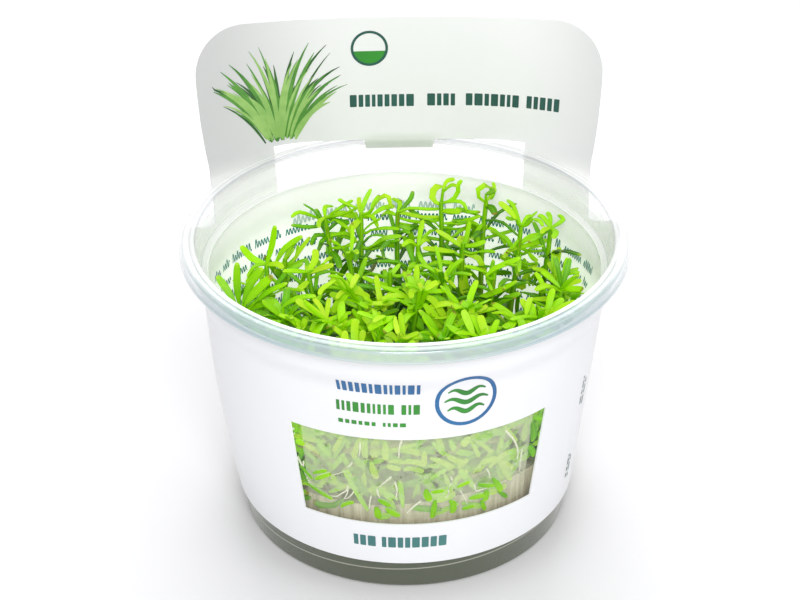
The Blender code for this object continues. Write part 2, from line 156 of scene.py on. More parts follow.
class Wire:
    def __init__(self, tree, socket=None):
        self.tree = tree
        self.socket = socket

    def node(self, kind, settings=None, sockets=None, out=0):
        made = self.tree.nodes.new(kind)
        for key, value in (settings or {}).items():
            if key == "stops":
                for number, (place, colour) in enumerate(value):
                    if number >= len(made.color_ramp.elements):
                        made.color_ramp.elements.new(place)
                    made.color_ramp.elements[number].position = place
                    made.color_ramp.elements[number].color = (*colour, 1)
            else:
                setattr(made, key, value)
        for key, value in (sockets or {}).items():
            socket = made.inputs[key]
            if isinstance(value, Wire):
                self.tree.links.new(value.socket, socket)
            else:
                socket.default_value = (*value, 1) if socket.type == "RGBA" else value
        return Wire(self.tree, made.outputs[out])

    def sum(self, operation, *values):
        numbered = dict(enumerate(values))
        return self.node("ShaderNodeMath", {"operation": operation}, numbered)

    def __add__(self, other):
        return self.sum("ADD", self, other)

    def __sub__(self, other):
        return self.sum("SUBTRACT", self, other)

    def __mul__(self, other):
        return self.sum("MULTIPLY", self, other)

    def __truediv__(self, other):
        return self.sum("DIVIDE", self, other)

    def __pow__(self, other):
        return self.sum("POWER", self, other)

    def __rsub__(self, other):
        return self.sum("SUBTRACT", other, self)

    def __rtruediv__(self, other):
        return self.sum("DIVIDE", other, self)

    __radd__ = __add__
    __rmul__ = __mul__

    def clip(self):
        return self.node("ShaderNodeClamp", {}, {0: self})

    # 0 below low, 1 above high, smooth between
    def ramp(self, low, high, start=0.0, end=1.0):
        settings = {"interpolation_type": "SMOOTHSTEP"}
        sockets = {0: self, 1: low, 2: high, 3: start, 4: end}
        return self.node("ShaderNodeMapRange", settings, sockets)

    def blend(self, first, second):  # self is the share of the second colour
        sockets = {0: self, 6: first, 7: second}
        return self.node("ShaderNodeMix", {"data_type": "RGBA"}, sockets, 2)

    def distance(self, other=0.0):
        return self.sum("ABSOLUTE", self - other)

    def noise(self, place, scale, detail=3.0, rough=0.5):
        sockets = {"Vector": place, "Scale": scale, "Detail": detail, "Roughness": rough}
        return self.node("ShaderNodeTexNoise", {}, sockets)

    def principled(self, colour, rough, others=None):
        sockets = {"Base Color": colour, "Roughness": rough, **(others or {})}
        return self.node("ShaderNodeBsdfPrincipled", {}, sockets)

    def bump(self, height, strength, distance):
        sockets = {"Height": height, "Strength": strength, "Distance": distance * mm}
        return self.node("ShaderNodeBump", {}, sockets)

    def mixShaders(self, share, first, second):
        return self.node("ShaderNodeMixShader", {}, {0: share, 1: first, 2: second})


def newMaterial(name):
    made = bpy.data.materials.new(name)
    made.use_nodes = True
    made.node_tree.nodes.clear()
    return made, Wire(made.node_tree)


def finishMaterial(made, wire, shader):
    out = made.node_tree.nodes.new("ShaderNodeOutputMaterial")
    wire.tree.links.new(shader.socket, out.inputs["Surface"])
    return made


def objectPlace(wire):
    return wire.node("ShaderNodeTexCoord", {}, {}, "Object")


def axes(wire, place):
    split = wire.node("ShaderNodeSeparateXYZ", {}, {0: place})
    outputs = split.socket.node.outputs
    return [Wire(wire.tree, outputs[number]) for number in range(3)]


# Height, distance from the cup's middle line, and the angle from the front, -Y, towards +X
def aroundCup(wire, place):
    x, y, z = axes(wire, place)
    reach = wire.sum("SQRT", x * x + y * y)
    return z * perMetre, reach * perMetre, wire.sum("ARCTAN2", x, y * -1)


# Camera, floor and light

cameraSet = {
    "place": (0.0, -354.45, 264.293),
    "lookDown": 31.2295,
    "turn": 0.164,
    "roll": -0.2062,
    "lens": 86.657,
    "sensor": 36.0,
    "clip": (0.01, 10.0),
}


def viewTurn():
    turn = Matrix.Rotation(math.radians(cameraSet["turn"]), 4, "Z")
    down = Matrix.Rotation(math.radians(90.0 - cameraSet["lookDown"]), 4, "X")
    return turn @ down @ Matrix.Rotation(math.radians(cameraSet["roll"]), 4, "Z")


def makeCamera():
    made = bpy.data.cameras.new("camera")
    made.lens = cameraSet["lens"]
    made.sensor_width = cameraSet["sensor"]
    made.sensor_fit = "HORIZONTAL"
    made.clip_start, made.clip_end = cameraSet["clip"]
    camera = bpy.data.objects.new("camera", made)
    bpy.context.scene.collection.objects.link(camera)
    camera.matrix_world = Matrix.Translation(Vector(cameraSet["place"]) * mm) @ viewTurn()
    bpy.context.scene.camera = camera


lightSet = {
    "world": (0.975, 0.98, 1.0),
    "worldStrength": 0.60,
    "floor": (0.70, 0.70, 0.703),
    # painted light: the floor is painted paler behind the cup, where the header's shadow falls
    "floorPaintedLightBehind": (0.82, 0.82, 0.823),
    "floorFade": (0.03, 0.16),  # from the one grey to the other, along y
    "floorSize": 8.0,
    "floorRough": 0.6,
    "aim": (0.0, 0.0, 0.04),
    # name: place and size in metres, watts, colour
    "lamps": {
        "topBox": ((0.0, 0.0, 0.85), 0.60, 1.35, (1.0, 1.0, 1.0)),
        "backBox": ((0.0, 0.50, 0.65), 0.50, 3.0, (1.0, 1.0, 1.0)),
        "frontBox": ((0.04, -0.70, 0.60), 0.40, 5.4, (1.0, 1.0, 0.99)),
        "rightBox": ((0.65, -0.10, 0.35), 0.45, 0.35, (1.0, 1.0, 1.0)),
    },
}


def makeStage():
    scene = bpy.context.scene
    scene.view_settings.view_transform = "Standard"
    scene.world = bpy.data.worlds.new("studio")
    scene.world.use_nodes = True
    sky = scene.world.node_tree.nodes["Background"]
    sky.inputs["Color"].default_value = (*lightSet["world"], 1)
    sky.inputs["Strength"].default_value = lightSet["worldStrength"]
    for name, (place, size, watts, colour) in lightSet["lamps"].items():
        made = bpy.data.lights.new(name, "AREA")
        made.shape = "SQUARE"
        made.size = size
        made.energy = watts
        made.color = colour
        lamp = bpy.data.objects.new(name, made)
        scene.collection.objects.link(lamp)
        lamp.location = place
        ahead = Vector(lightSet["aim"]) - Vector(place)
        lamp.rotation_euler = ahead.to_track_quat("-Z", "Y").to_euler()

    deselect()
    bpy.ops.mesh.primitive_plane_add(size=lightSet["floorSize"])
    floor = named("floor")
    made, wire = newMaterial("paleFloor")
    _, y, _ = axes(wire, objectPlace(wire))
    # painted light: paler behind the cup, where the header's shadow falls
    grey = y.ramp(*lightSet["floorFade"]).blend(lightSet["floor"], lightSet["floorPaintedLightBehind"])
    shader = wire.principled(grey, lightSet["floorRough"])
    floor.data.materials.append(finishMaterial(made, wire, shader))


# The cup: a turned wall with a ledge, a collar and a flange with a turned-down skirt

cupSet = {
    "segments": 144,
    "wall": 0.7,
    "base": 36.05,
    "lean": 0.1055,
    "footInner": 31.4,
    "footRecess": 0.8,
    "floor": 1.5,
    "ledge": 59.4,
    "collar": 43.0,
    "rimInner": 44.0,
    "rimTop": 66.7,
    "flange": 46.83,
    "flangeUnder": 64.9,
    "skirt": 47.5,
    "skirtLow": 63.6,
    "footRound": 0.5,
    "floorRound": 1.2,
    # how far out from the rim's inside and how far down from its top: a dip, the bead, its inside
    "bead": ((1.4, 0.4), (1.05, 0.05), (0.35, 0.0), (0.0, 0.4)),
    "ease": 0.22,
    "easeAngle": 25,
    "smoothAngle": 40,
}


def wallRadius(z):
    return cupSet["base"] + cupSet["lean"] * z


def innerRadius(z):
    return wallRadius(z) - cupSet["wall"]


def makeCup():
    s = cupSet
    foot, ledge, wall, top = s["footInner"], s["ledge"], s["wall"], s["rimTop"]
    edge, turned = s["footRound"], s["floorRound"]
    profile = [
        (foot - 2 * edge, s["footRecess"]),
        (foot - edge, s["footRecess"]),
        (foot, 0.0),
        (s["base"] - edge, 0.0),
        (wallRadius(edge), edge),
        (wallRadius(ledge - wall), ledge - wall),
        (s["collar"] + wall, ledge - wall / 2),
        (s["rimInner"] + wall, s["flangeUnder"]),
        (s["flange"] - wall, s["flangeUnder"]),
        (s["skirt"] - wall, s["skirtLow"]),
        (s["skirt"], s["skirtLow"]),
        (s["flange"], top - wall),
        (s["flange"] - 0.5, top - wall / 2),
        *[(s["rimInner"] + out, top - down) for out, down in s["bead"]],
        (s["collar"], ledge + 0.2),
        (innerRadius(ledge), ledge),
        (innerRadius(s["floor"] + turned), s["floor"] + turned),
        (innerRadius(s["floor"]) - turned, s["floor"]),
        (foot - 2.0, s["floor"]),
    ]
    cup = turnRings("clearCup", profile, s["segments"])
    modify(cup, "BEVEL", width=s["ease"] * mm, segments=3, limit_method="ANGLE",
           angle_limit=math.radians(s["easeAngle"]), harden_normals=False)
    smoothBy(cup, s["smoothAngle"])
    wear(cup, clearPlastic(), "clear_plastic", "cup")


# Where the plastic is painted with haze, painted highlights and painted dark lines, from and to, as
# radii or heights; the rest is clear
plasticSet = {
    "soft": 0.06,
    "innerEdge": (43.95, 44.25),
    "bead": (44.25, 45.2),
    "shelf": (45.25, 46.5),
    "outerEdge": (46.5, 46.88),
    "rimHeight": (64.6, 65.2),
    "skirt": (46.6, 46.9),
    "skirtHeight": (63.0, 63.5),
    "hemHeight": (63.3, 64.0),
    "corner": (42.8, 43.15),
    "cornerHeight": (59.2, 60.1),
    "ledge": (41.8, 42.8),
    "ledgeHeight": (59.0, 59.8),
    "ledgeEdge": (41.5, 41.8),
    "wallTop": (58.4, 59.1),
    "collar": (43.1, 44.2),
    "collarHeight": (60.2, 64.8),
    "footHeight": (9.5, 8.5),
    # fog of fine drops on the inner wall: angles from the front, and heights
    "fogTurns": (-32.6, 41.9),
    "fogEdge": 0.012,
    "fogLow": (18.4, 19.1),
    "fogHigh": (52.0, 44.0),
    "fogThin": (20.5, 27.0),
    # tints
    "hazeAndPaintedLight": (0.90, 0.905, 0.92),
    "fogTint": (0.87, 0.92, 0.66),
    "innerEdgeShadeTint": (0.50, 0.51, 0.57),
    "skirtTint": (0.50, 0.58, 0.56),
    "skirtSideTint": (0.42, 0.52, 0.55),
    "outerEdgeShadeTint": (0.38, 0.48, 0.47),
    "paintedLineTint": (0.38, 0.42, 0.40),
    "gelTint": (0.078, 0.092, 0.058),
    "gelGrazingLightTint": (0.25, 0.265, 0.22),
    "footReflectionTint": (0.60, 0.60, 0.50),
    "clear": (0.997, 0.998, 0.997),
}


def clearPlastic():
    s = plasticSet
    made, wire = newMaterial("clearPlastic")
    place = objectPlace(wire)
    x, _, _ = axes(wire, place)
    height, radius, turn = aroundCup(wire, place)
    flow = wire.noise(place, 60.0, 2.0)
    graze = wire.node("ShaderNodeLayerWeight", {}, {"Blend": 0.35}, "Facing")
    # a faint haze, with more of it at grazing angles: partly the plastic's own haze, partly painted
    # reflection
    body = graze ** 3.0 * 0.22 + 0.012 + flow * 0.01

    def band(value, name, soft=s["soft"]):
        low, high = s[name]
        return value.ramp(low - soft, low + soft) * value.ramp(high + soft, high - soft)

    # the moulded rim is painted with light and shade: a painted dark inner edge, painted highlights
    # on the bead and the hem, a shelf, a painted dark outer edge and the skirt; at the sides the
    # collar and the ledge show painted highlights, and the collar's corner and the wall's top edge
    # painted dark lines
    front = wire.sum("COSINE", turn).ramp(0.0, 0.8)
    rim = height.ramp(*s["rimHeight"])
    innerEdge = band(radius, "innerEdge") * height.ramp(65.2, 65.6) * (1.0 - front)
    bead = band(radius, "bead") * rim
    shelf = band(radius, "shelf") * rim
    outerEdge = band(radius, "outerEdge") * height.ramp(65.5, 65.7)
    skirt = radius.ramp(*s["skirt"]) * height.ramp(*s["skirtHeight"])
    hem = band(height, "hemHeight") * radius.ramp(46.5, 46.7)
    corner = band(radius, "corner") * band(height, "cornerHeight") * graze
    ledge = band(radius, "ledge") * band(height, "ledgeHeight")
    ledgeEdge = band(radius, "ledgeEdge") * band(height, "ledgeHeight")
    wallTop = band(height, "wallTop") * graze
    collar = band(radius, "collar") * band(height, "collarHeight", 0.4) * (1.0 - front)
    foot = height.ramp(*s["footHeight"])
    for part, share in (
        (bead, front * 0.45 + 0.4), (innerEdge, 0.4), (shelf, front * 0.25 + 0.5),
        (outerEdge, 0.55), (skirt, front * 0.42 + 0.3), (hem, 0.35), (corner, 0.7),
        (ledge, 0.25), (ledgeEdge, 0.45), (wallTop, 0.45), (collar, graze * 0.3 + 0.15),
        (foot, 0.85),
    ):
        body = body + part * share

    # fog inside the window, with a crisp upright edge at each side
    low, high = (math.radians(angle) for angle in s["fogTurns"])
    wallMiddle = height * cupSet["lean"] + cupSet["base"] - cupSet["wall"] / 2
    facesIn = (radius - wallMiddle).ramp(0.1, -0.1)
    inside = turn.ramp(low, low + s["fogEdge"]) * turn.ramp(high, high - s["fogEdge"])
    drops = wire.noise(place, 900.0, 2.0) * 0.12 + 0.14
    wet = wire.noise(place, 240.0, 3.0, 0.6).ramp(0.36, 0.44) * 0.16
    fog = inside * height.ramp(*s["fogLow"]) * height.ramp(*s["fogHigh"]) * facesIn
    fog = fog * (drops + wet) * height.ramp(*s["fogThin"], 0.5, 1.0)

    tint = fog.ramp(0.02, 0.1).blend(s["hazeAndPaintedLight"], s["fogTint"])
    # painted shade on the rim's dark edge lines, and the skirt painted with the look of the clear
    # plastic at the front and the sides
    tint = innerEdge.blend(tint, s["innerEdgeShadeTint"])
    skirtTint = turn.distance().ramp(0.1, 0.6).blend(s["skirtTint"], s["skirtSideTint"])
    tint = ((shelf + skirt) * front).clip().blend(tint, skirtTint)
    tint = (outerEdge * (front * 0.7 + 0.3)).blend(tint, s["outerEdgeShadeTint"])
    tint = (corner + wallTop).clip().blend(tint, s["paintedLineTint"])
    # the gel's colour fills the wall's thickness under the sleeve: dark, with painted shade where
    # the sleeve keeps light off, paler at grazing angles as painted light, and with one fine pale
    # line, a painted reflection of the foot ring
    graded = (graze ** 2.0).blend(s["gelTint"], s["gelGrazingLightTint"])
    footReflection = height.distance(x * 33.0 + 5.25).ramp(0.22, 0.08)
    tint = foot.blend(tint, (footReflection * 0.6).blend(graded, s["footReflectionTint"]))
    hazeAndPaintedLight = wire.principled(tint, flow * 0.05 + 0.08, {
        "IOR": 1.49, "Coat Weight": 0.5, "Coat Roughness": 0.05,
    })
    clear = wire.node("ShaderNodeBsdfTransparent", {}, {"Color": s["clear"]})
    return finishMaterial(made, wire, wire.mixShaders((body + fog).clip(), clear, hazeAndPaintedLight))


# The sleeve: a die-cut card, laid out flat as a grid, rolled round the cup and thickened

cardSet = {
    "paintedGlow": 0.55,
    "thick": 0.35,
    "turn": 1.6,
    "bottom": 7.66,
    "top": 58.4,
    "wrap": 42.85,
    "loose": 1.0,
    "flareStart": 53.0,
    "hem": 62.4,
    "hemRun": 14.0,
    "windowCentre": 3.55,
    "windowHalf": (37.45, 39.15),
    "window": (18.6, 41.8),
    "slotHalf": 29.5,
    "slot": (57.6, 67.2),
    "tabHalf": 8.0,
    "tabLow": 64.7,
    "tabTaper": 0.96,
    "headerHalf": 46.0,
    "headerTop": 96.5,
    "headerPlain": 79.0,
    "arch": 0.4,
    "corner": 11.5,
    "fillet": 4.0,
    "liftStart": 52.0,
    "wingFrom": 20.0,
    "wingTo": 72.0,
    "wingFade": 22.0,
    "curve": 63.0,
    "curveFade": 27.0,
    "back": 44.0,
    "push": 1.6,
    "pushFade": 8.0,
    "dent": 3.4,
    "dentFade": 11.0,
    "skirt": 63.6,
    "skirtGap": 0.3,
    # cells of the flat layout: along a wing, beside the tab, half the tab, beside the window, the
    # window, and up the rounded top
    "wingCells": 16,
    "slotCells": 10,
    "tabCells": 4,
    "sideCells": 24,
    "windowCells": 36,
    "crownCells": 14,
    "wingEase": 1.7,
    "merge": 0.02,
    "smoothAngle": 40,
    # the flat plan's own place and size on the UV map, and a plain place on it for the tab
    "planStart": 225.0,
    "planSize": 300.0,
    "tabUv": (0.75, 0.22),
    # finish
    "outer": (0.80, 0.805, 0.83),
    "inner": (0.93, 0.935, 0.905),
    "headerGrey": (0.78, 0.78, 0.785),
    "headerSideShade": (0.50, 0.50, 0.505),
    "paintedGlowTint": (0.97, 1.0, 0.93),
}


def headerHalf(z):
    s = cardSet
    rise = min(1.0, max(0.0, (z - s["top"]) / (s["slot"][1] - s["top"])))
    return s["headerHalf"] + s["fillet"] * (1.0 - rise) ** 2


def headerTop(across):
    s = cardSet
    into = max(0.0, abs(across) - (s["headerHalf"] - s["corner"]))
    drop = s["corner"] - math.sqrt(max(0.0, s["corner"] ** 2 - into**2))
    return s["headerTop"] - s["arch"] * (across / s["headerHalf"]) ** 2 - drop


# The free card above the sleeve, bent round the rim and flatter towards its top
def freeCard(across, z):
    s = cardSet
    height = max(z, s["skirt"])
    bend = s["curve"] * math.exp((height - s["skirt"]) / s["curveFade"])
    back = s["back"] + s["push"] * math.exp(-(height - s["skirt"]) / s["pushFade"])
    inward = max(0.0, 1.0 - (across / s["slotHalf"]) ** 2) ** 2
    dent = s["dent"] * inward * math.exp(-abs(height - s["slot"][1]) / s["dentFade"])
    turn = across / bend
    return Vector((bend * math.sin(turn), back - bend * (1.0 - math.cos(turn)) - dent, z))


def collarRadius(z):  # the outside of the collar between the ledge and the flange
    low = cupSet["ledge"] - cupSet["wall"] / 2
    rise = (cupSet["rimInner"] - cupSet["collar"]) / (cupSet["flangeUnder"] - low)
    return cupSet["collar"] + cupSet["wall"] + rise * (z - low)


def hemHeight(across):  # the sleeve's top edge, hidden under the skirt round the front
    s = cardSet
    beyond = abs(across) - s["headerHalf"] - s["fillet"]
    return s["top"] + (s["hem"] - s["top"]) * smoothStep(beyond / s["hemRun"])


# Where a place on the flat card lands: across from the header's middle line, and height
def rolled(across, z):
    s = cardSet
    turn = across / s["wrap"]
    rise = min(1.0, max(0.0, (z - s["bottom"]) / (s["top"] - s["bottom"])))
    slack = max(0.0, -math.sin(turn)) ** 2 * math.sin(math.pi * rise)
    radius = s["wrap"] + cupSet["lean"] * (z - s["top"]) + s["loose"] * slack
    flare = smoothStep((z - s["flareStart"]) / (s["top"] - s["flareStart"]))
    radius += (collarRadius(z) + s["skirtGap"] + s["thick"] / 2 - radius) * flare
    wrapped = Vector((radius * math.sin(turn), radius * math.cos(turn), z))
    near = (across + math.pi * s["wrap"]) % (math.tau * s["wrap"]) - math.pi * s["wrap"]
    lift = min(1.0, max(0.0, (z - s["liftStart"]) / (s["skirt"] - s["liftStart"]))) ** 3
    share = 1.0
    if z < s["skirt"]:
        share = smoothStep((abs(near) - s["wingFrom"]) / (s["slotHalf"] - s["wingFrom"]))
        share *= smoothStep((s["wingTo"] - abs(near)) / s["wingFade"])
    place = wrapped.lerp(freeCard(near, z), lift * share) if lift * share > 0 else wrapped
    return Matrix.Rotation(math.radians(s["turn"]), 3, "Z") @ place


# A place just off the card, side 1 on its outer face and -1 on its inner face
def onCard(across, z, side, off=0.05):
    step = 0.05
    alongAcross = rolled(across + step, z) - rolled(across - step, z)
    alongUp = rolled(across, z + step) - rolled(across, z - step)
    outward = alongUp.cross(alongAcross).normalized()
    return (rolled(across, z) + outward * side * (cardSet["thick"] / 2 + off)) * mm


def steps(start, end, cells):
    return [start + (end - start) * number / cells for number in range(cells)]


def cardColumns(z):
    s = cardSet
    count = s["wingCells"]
    wing = [1.0 - (1.0 - number / count) ** s["wingEase"] for number in range(count + 1)]
    half = [s["slotHalf"] + (headerHalf(z) - s["slotHalf"]) * share for share in wing]
    slot = steps(0.0, s["tabHalf"], s["tabCells"])
    slot += steps(s["tabHalf"], s["slotHalf"], s["slotCells"])
    right = slot + half
    header = [-across for across in reversed(right[1:])] + right
    turnLength = math.tau * s["wrap"]
    low, high = s["window"]
    share = (z - low) / (high - low)
    opening = s["windowHalf"][0] + (s["windowHalf"][1] - s["windowHalf"][0]) * share
    near = math.radians(180 - s["windowCentre"] - opening) * s["wrap"]
    far = math.radians(180 - s["windowCentre"] + opening) * s["wrap"]
    edge = s["headerHalf"] + s["fillet"]
    sides = steps(edge, near, s["sideCells"]) + steps(near, far, s["windowCells"])
    sides += steps(far, turnLength - edge, s["sideCells"]) + [turnLength - edge]
    return [across - turnLength for across in sides] + header


def makeSleeve():
    s = cardSet
    heights = steps(s["bottom"], s["window"][0], 3) + steps(*s["window"], 6)
    heights += steps(s["window"][1], s["liftStart"], 3) + steps(s["liftStart"], s["slot"][0], 5)
    heights += [s["slot"][0]] + steps(s["top"], s["hem"], 5) + steps(s["hem"], s["skirt"], 2)
    heights += steps(s["skirt"], s["slot"][1], 4)
    heights += steps(s["slot"][1], s["headerPlain"], 6)
    crown = s["crownCells"]
    rows = len(heights) + crown + 1
    columns = cardColumns(s["bottom"])
    deselect()
    bpy.ops.mesh.primitive_grid_add(x_subdivisions=len(columns) - 1, y_subdivisions=rows - 1)
    sleeve = named("printedSleeve")

    cells = len(columns) - 1
    wing, tabCells = s["wingCells"], 2 * s["tabCells"]
    slotWide = 2 * s["slotCells"] + tabCells
    headerStart = cells - 2 * wing - slotWide
    slotCells = range(headerStart + wing, headerStart + wing + slotWide)
    windowCells = range(s["sideCells"], s["sideCells"] + s["windowCells"])

    def cut(row, cell):
        z = heights[row] if row < len(heights) else s["headerTop"]
        if z >= s["top"] and cell == headerStart - 1:
            return True
        if z >= s["hem"] - 0.01 and cell < headerStart:
            return True
        if s["window"][0] <= z < s["window"][1] - 0.01:
            return cell in windowCells
        return s["slot"][0] <= z < s["slot"][1] - 0.01 and cell in slotCells

    # the flat layout goes to the UV map, then the card is rolled
    flat = []
    for row in range(rows):
        z = heights[row] if row < len(heights) else s["headerPlain"]
        across = cardColumns(min(z, s["slot"][1]))
        share = max(0, row - len(heights)) / crown
        hemShare = (min(z, s["hem"]) - s["top"]) / (s["hem"] - s["top"])
        for number, column in enumerate(across):
            top = headerTop(max(-s["headerHalf"], min(s["headerHalf"], column)))
            place = z + share * (top - z)
            if number < headerStart and hemShare > 0:
                near = min(abs(column), abs(column + math.tau * s["wrap"]))
                place = s["top"] + (hemHeight(near) - s["top"]) * hemShare
            flat.append((column, place))
    mesh = sleeve.data
    uv = mesh.uv_layers.active.data
    for loop in mesh.loops:
        across, z = flat[loop.vertex_index]
        uv[loop.index].uv = ((across + s["planStart"]) / s["planSize"], z / s["planSize"])
    for vert, (across, z) in zip(mesh.vertices, flat):
        vert.co = rolled(across, z) * mm
    pickNone(sleeve, "FACE")
    for face in mesh.polygons:
        face.select = cut(face.index // cells, face.index % cells)
    bpy.ops.object.mode_set(mode="EDIT")
    bpy.ops.mesh.delete(type="FACE")
    faceOutwards(sleeve, s["merge"])

    # the tab hangs from the slot's top edge
    deselect()
    bpy.ops.mesh.primitive_grid_add(x_subdivisions=tabCells, y_subdivisions=3)
    tab = named("tab")
    side = tabCells + 1
    for vert in tab.data.vertices:
        drop = 1.0 - (vert.index // side) / 3
        across = (vert.index % side / (side - 1) * 2 - 1) * s["tabHalf"]
        across *= 1.0 - (1.0 - s["tabTaper"]) * drop
        z = s["slot"][1] + (s["tabLow"] - s["slot"][1]) * drop
        vert.co = rolled(across, z) * mm
    for loop in tab.data.loops:
        tab.data.uv_layers.active.data[loop.index].uv = s["tabUv"]
    sleeve = joined("printedSleeve", [sleeve, tab])
    faceOutwards(sleeve, s["merge"])
    modify(sleeve, "SOLIDIFY", thickness=s["thick"] * mm, offset=0.0, use_even_offset=True)
    smoothBy(sleeve, s["smoothAngle"])
    wear(sleeve, whiteCard(), "printed_card", "sleeve")


def cardShader(wire, colour, others=None):  # fibres under a thin satin coat
    place = objectPlace(wire)
    relief = wire.noise(place, 1400.0, 2.0) * 0.6 + wire.noise(place, 35.0, 1.0) * 0.4
    return wire.principled(colour, wire.noise(place, 250.0, 2.0) * 0.08 + 0.32, {
        "Coat Weight": 0.25,
        "Coat Roughness": 0.18,
        "Normal": wire.bump(relief, 0.12, 0.05),
        **(others or {}),
    })


def whiteCard():
    s = cardSet
    made, wire = newMaterial("whiteCard")
    place = objectPlace(wire)
    x, y, z = axes(wire, place)
    height = z * perMetre
    nx, ny, _ = axes(wire, wire.node("ShaderNodeNewGeometry", {}, {}, "Normal"))
    facesIn = (nx * x + ny * y).ramp(0.001, -0.001)
    mottle = wire.noise(place, 45.0, 3.0) * 0.06 + 0.97
    # the inner face is painted lighter than the outer face: painted light for the bright inside of
    # the sleeve
    outer, inner = (
        wire.node("ShaderNodeCombineXYZ", {}, {n: mottle * s[side][n] for n in range(3)})
        for side in ("outer", "inner")
    )
    colour = facesIn.blend(outer, inner)
    # painted shade: the free card above the rim is painted a greyer white, greyest towards its
    # sides, where the bent card turns from the light
    side = (x * perMetre).distance(6.0).ramp(16.0, 54.0)
    grey = side.blend(s["headerGrey"], s["headerSideShade"])
    colour = height.ramp(58.0, 68.0).blend(colour, grey)
    # painted light: the inner face glows by emission behind the plants, standing in for daylight
    # through the thin card
    lit = facesIn * height.ramp(56.5, 46.0) * height.ramp(14.0, 30.0)
    paintedGlow = (lit * s["paintedGlow"]).blend((0, 0, 0), s["paintedGlowTint"])
    sockets = {"Emission Color": paintedGlow, "Emission Strength": 1.0}
    return finishMaterial(made, wire, cardShader(wire, colour, sockets))


def ink(name, dark, light, patch=40.0):
    made, wire = newMaterial(name)
    mottle = wire.noise(objectPlace(wire), patch, 3.0).ramp(0.3, 0.7)
    return finishMaterial(made, wire, cardShader(wire, mottle.blend(dark, light)))


# Prints: flat shapes laid out on the card's own plan, cut into short strips that can follow the
# bend, and rolled with it. They stand for words and pictures with plain bars and motifs.

def filled(outline):
    deselect()
    bpy.ops.mesh.primitive_circle_add(vertices=len(outline), fill_type="NGON")
    item = named("fill")
    for vert, (x, y) in zip(item.data.vertices, outline):
        vert.co = (x, y, 0)
    return item


def bar(x, y, width, height, share=0.35):
    corner = min(width, height) / 2 * share
    points = []
    for number in range(16):
        turn = math.radians(number // 4 * 90 + number % 4 * 30)
        right, up = number < 4 or number >= 12, number < 8
        cx = x + width - corner if right else x + corner
        cy = y + height - corner if up else y + corner
        points.append((cx + corner * math.cos(turn), cy + corner * math.sin(turn)))
    return filled(points)


def arc(x, y, radius, start, end, count):
    turns = [math.radians(start + (end - start) * n / (count - 1)) for n in range(count)]
    return [(x + radius * math.cos(turn), y + radius * math.sin(turn)) for turn in turns]


def stroke(points, widths):  # a line of changing width
    deselect()
    bpy.ops.mesh.primitive_grid_add(x_subdivisions=len(points) - 1, y_subdivisions=1)
    item = named("stroke")
    for vert in item.data.vertices:
        number, edge = vert.index % len(points), vert.index // len(points) * 2 - 1
        before, after = points[max(0, number - 1)], points[min(len(points) - 1, number + 1)]
        ahead = Vector(after) - Vector(before)
        out = Vector((-ahead.y, ahead.x)).normalized() * widths[number] / 2 * edge
        vert.co = (points[number][0] + out.x, points[number][1] + out.y, 0)
    return item


# Stand-ins for print: one wavy line for a small word, and small blocks for a large one
def scribble(rng, x, z, length, tall, thick, rise=0.0):
    s = printSet
    points, reach = [], tall
    step = s["waveStep"] * tall
    for number in range(int(length / step)):
        if number % 10 == 0:
            reach = tall * rng.choice(s["waveReach"])
        wave = 0.5 - 0.5 * math.cos(number * step / (s["wavePeriod"] * tall) * math.tau)
        height = z + rise * number * step + wave * (reach if wave > 0.5 else tall)
        points.append((x + number * step, height))
    return stroke(points, [thick] * len(points))


def blocks(rng, x, z, length, tall, narrow, broad):
    made, at = [], x
    while at < x + length - narrow:
        width = min(rng.uniform(narrow, broad), x + length - at)
        made.append(bar(at, z, width, tall, 0.25))
        at += width + printSet["blockGap"]
    return made


def ringStroke(x, y, radius, width, count=41):
    return stroke(arc(x, y, radius, 0, 360, count), [width] * count)


# Shapes on the flat plan become one print: cut into strips and rolled onto the card. Side 1 is
# the card's outer face and -1 its inner face.
def printed(name, shapes, side, material, off=0.04):
    item = joined(name, shapes)
    across = [vert.co.x for vert in item.data.vertices]
    bpy.ops.object.mode_set(mode="EDIT")
    line = min(across) + printSet["strip"]
    while line < max(across):
        bpy.ops.mesh.select_all(action="SELECT")
        bpy.ops.mesh.bisect(plane_co=(line, 0, 0), plane_no=(1, 0, 0))
        line += printSet["strip"]
    faceOutwards(item)
    for vert in item.data.vertices:
        vert.co = onCard(vert.co.x, vert.co.y, side, off)
    wear(item, material, "printed_card")
    return item


# On the front x grows to the viewer's right; the header's middle line is half a turn away
def frontX(x, width=0.0):
    return -math.pi * cardSet["wrap"] - x - width


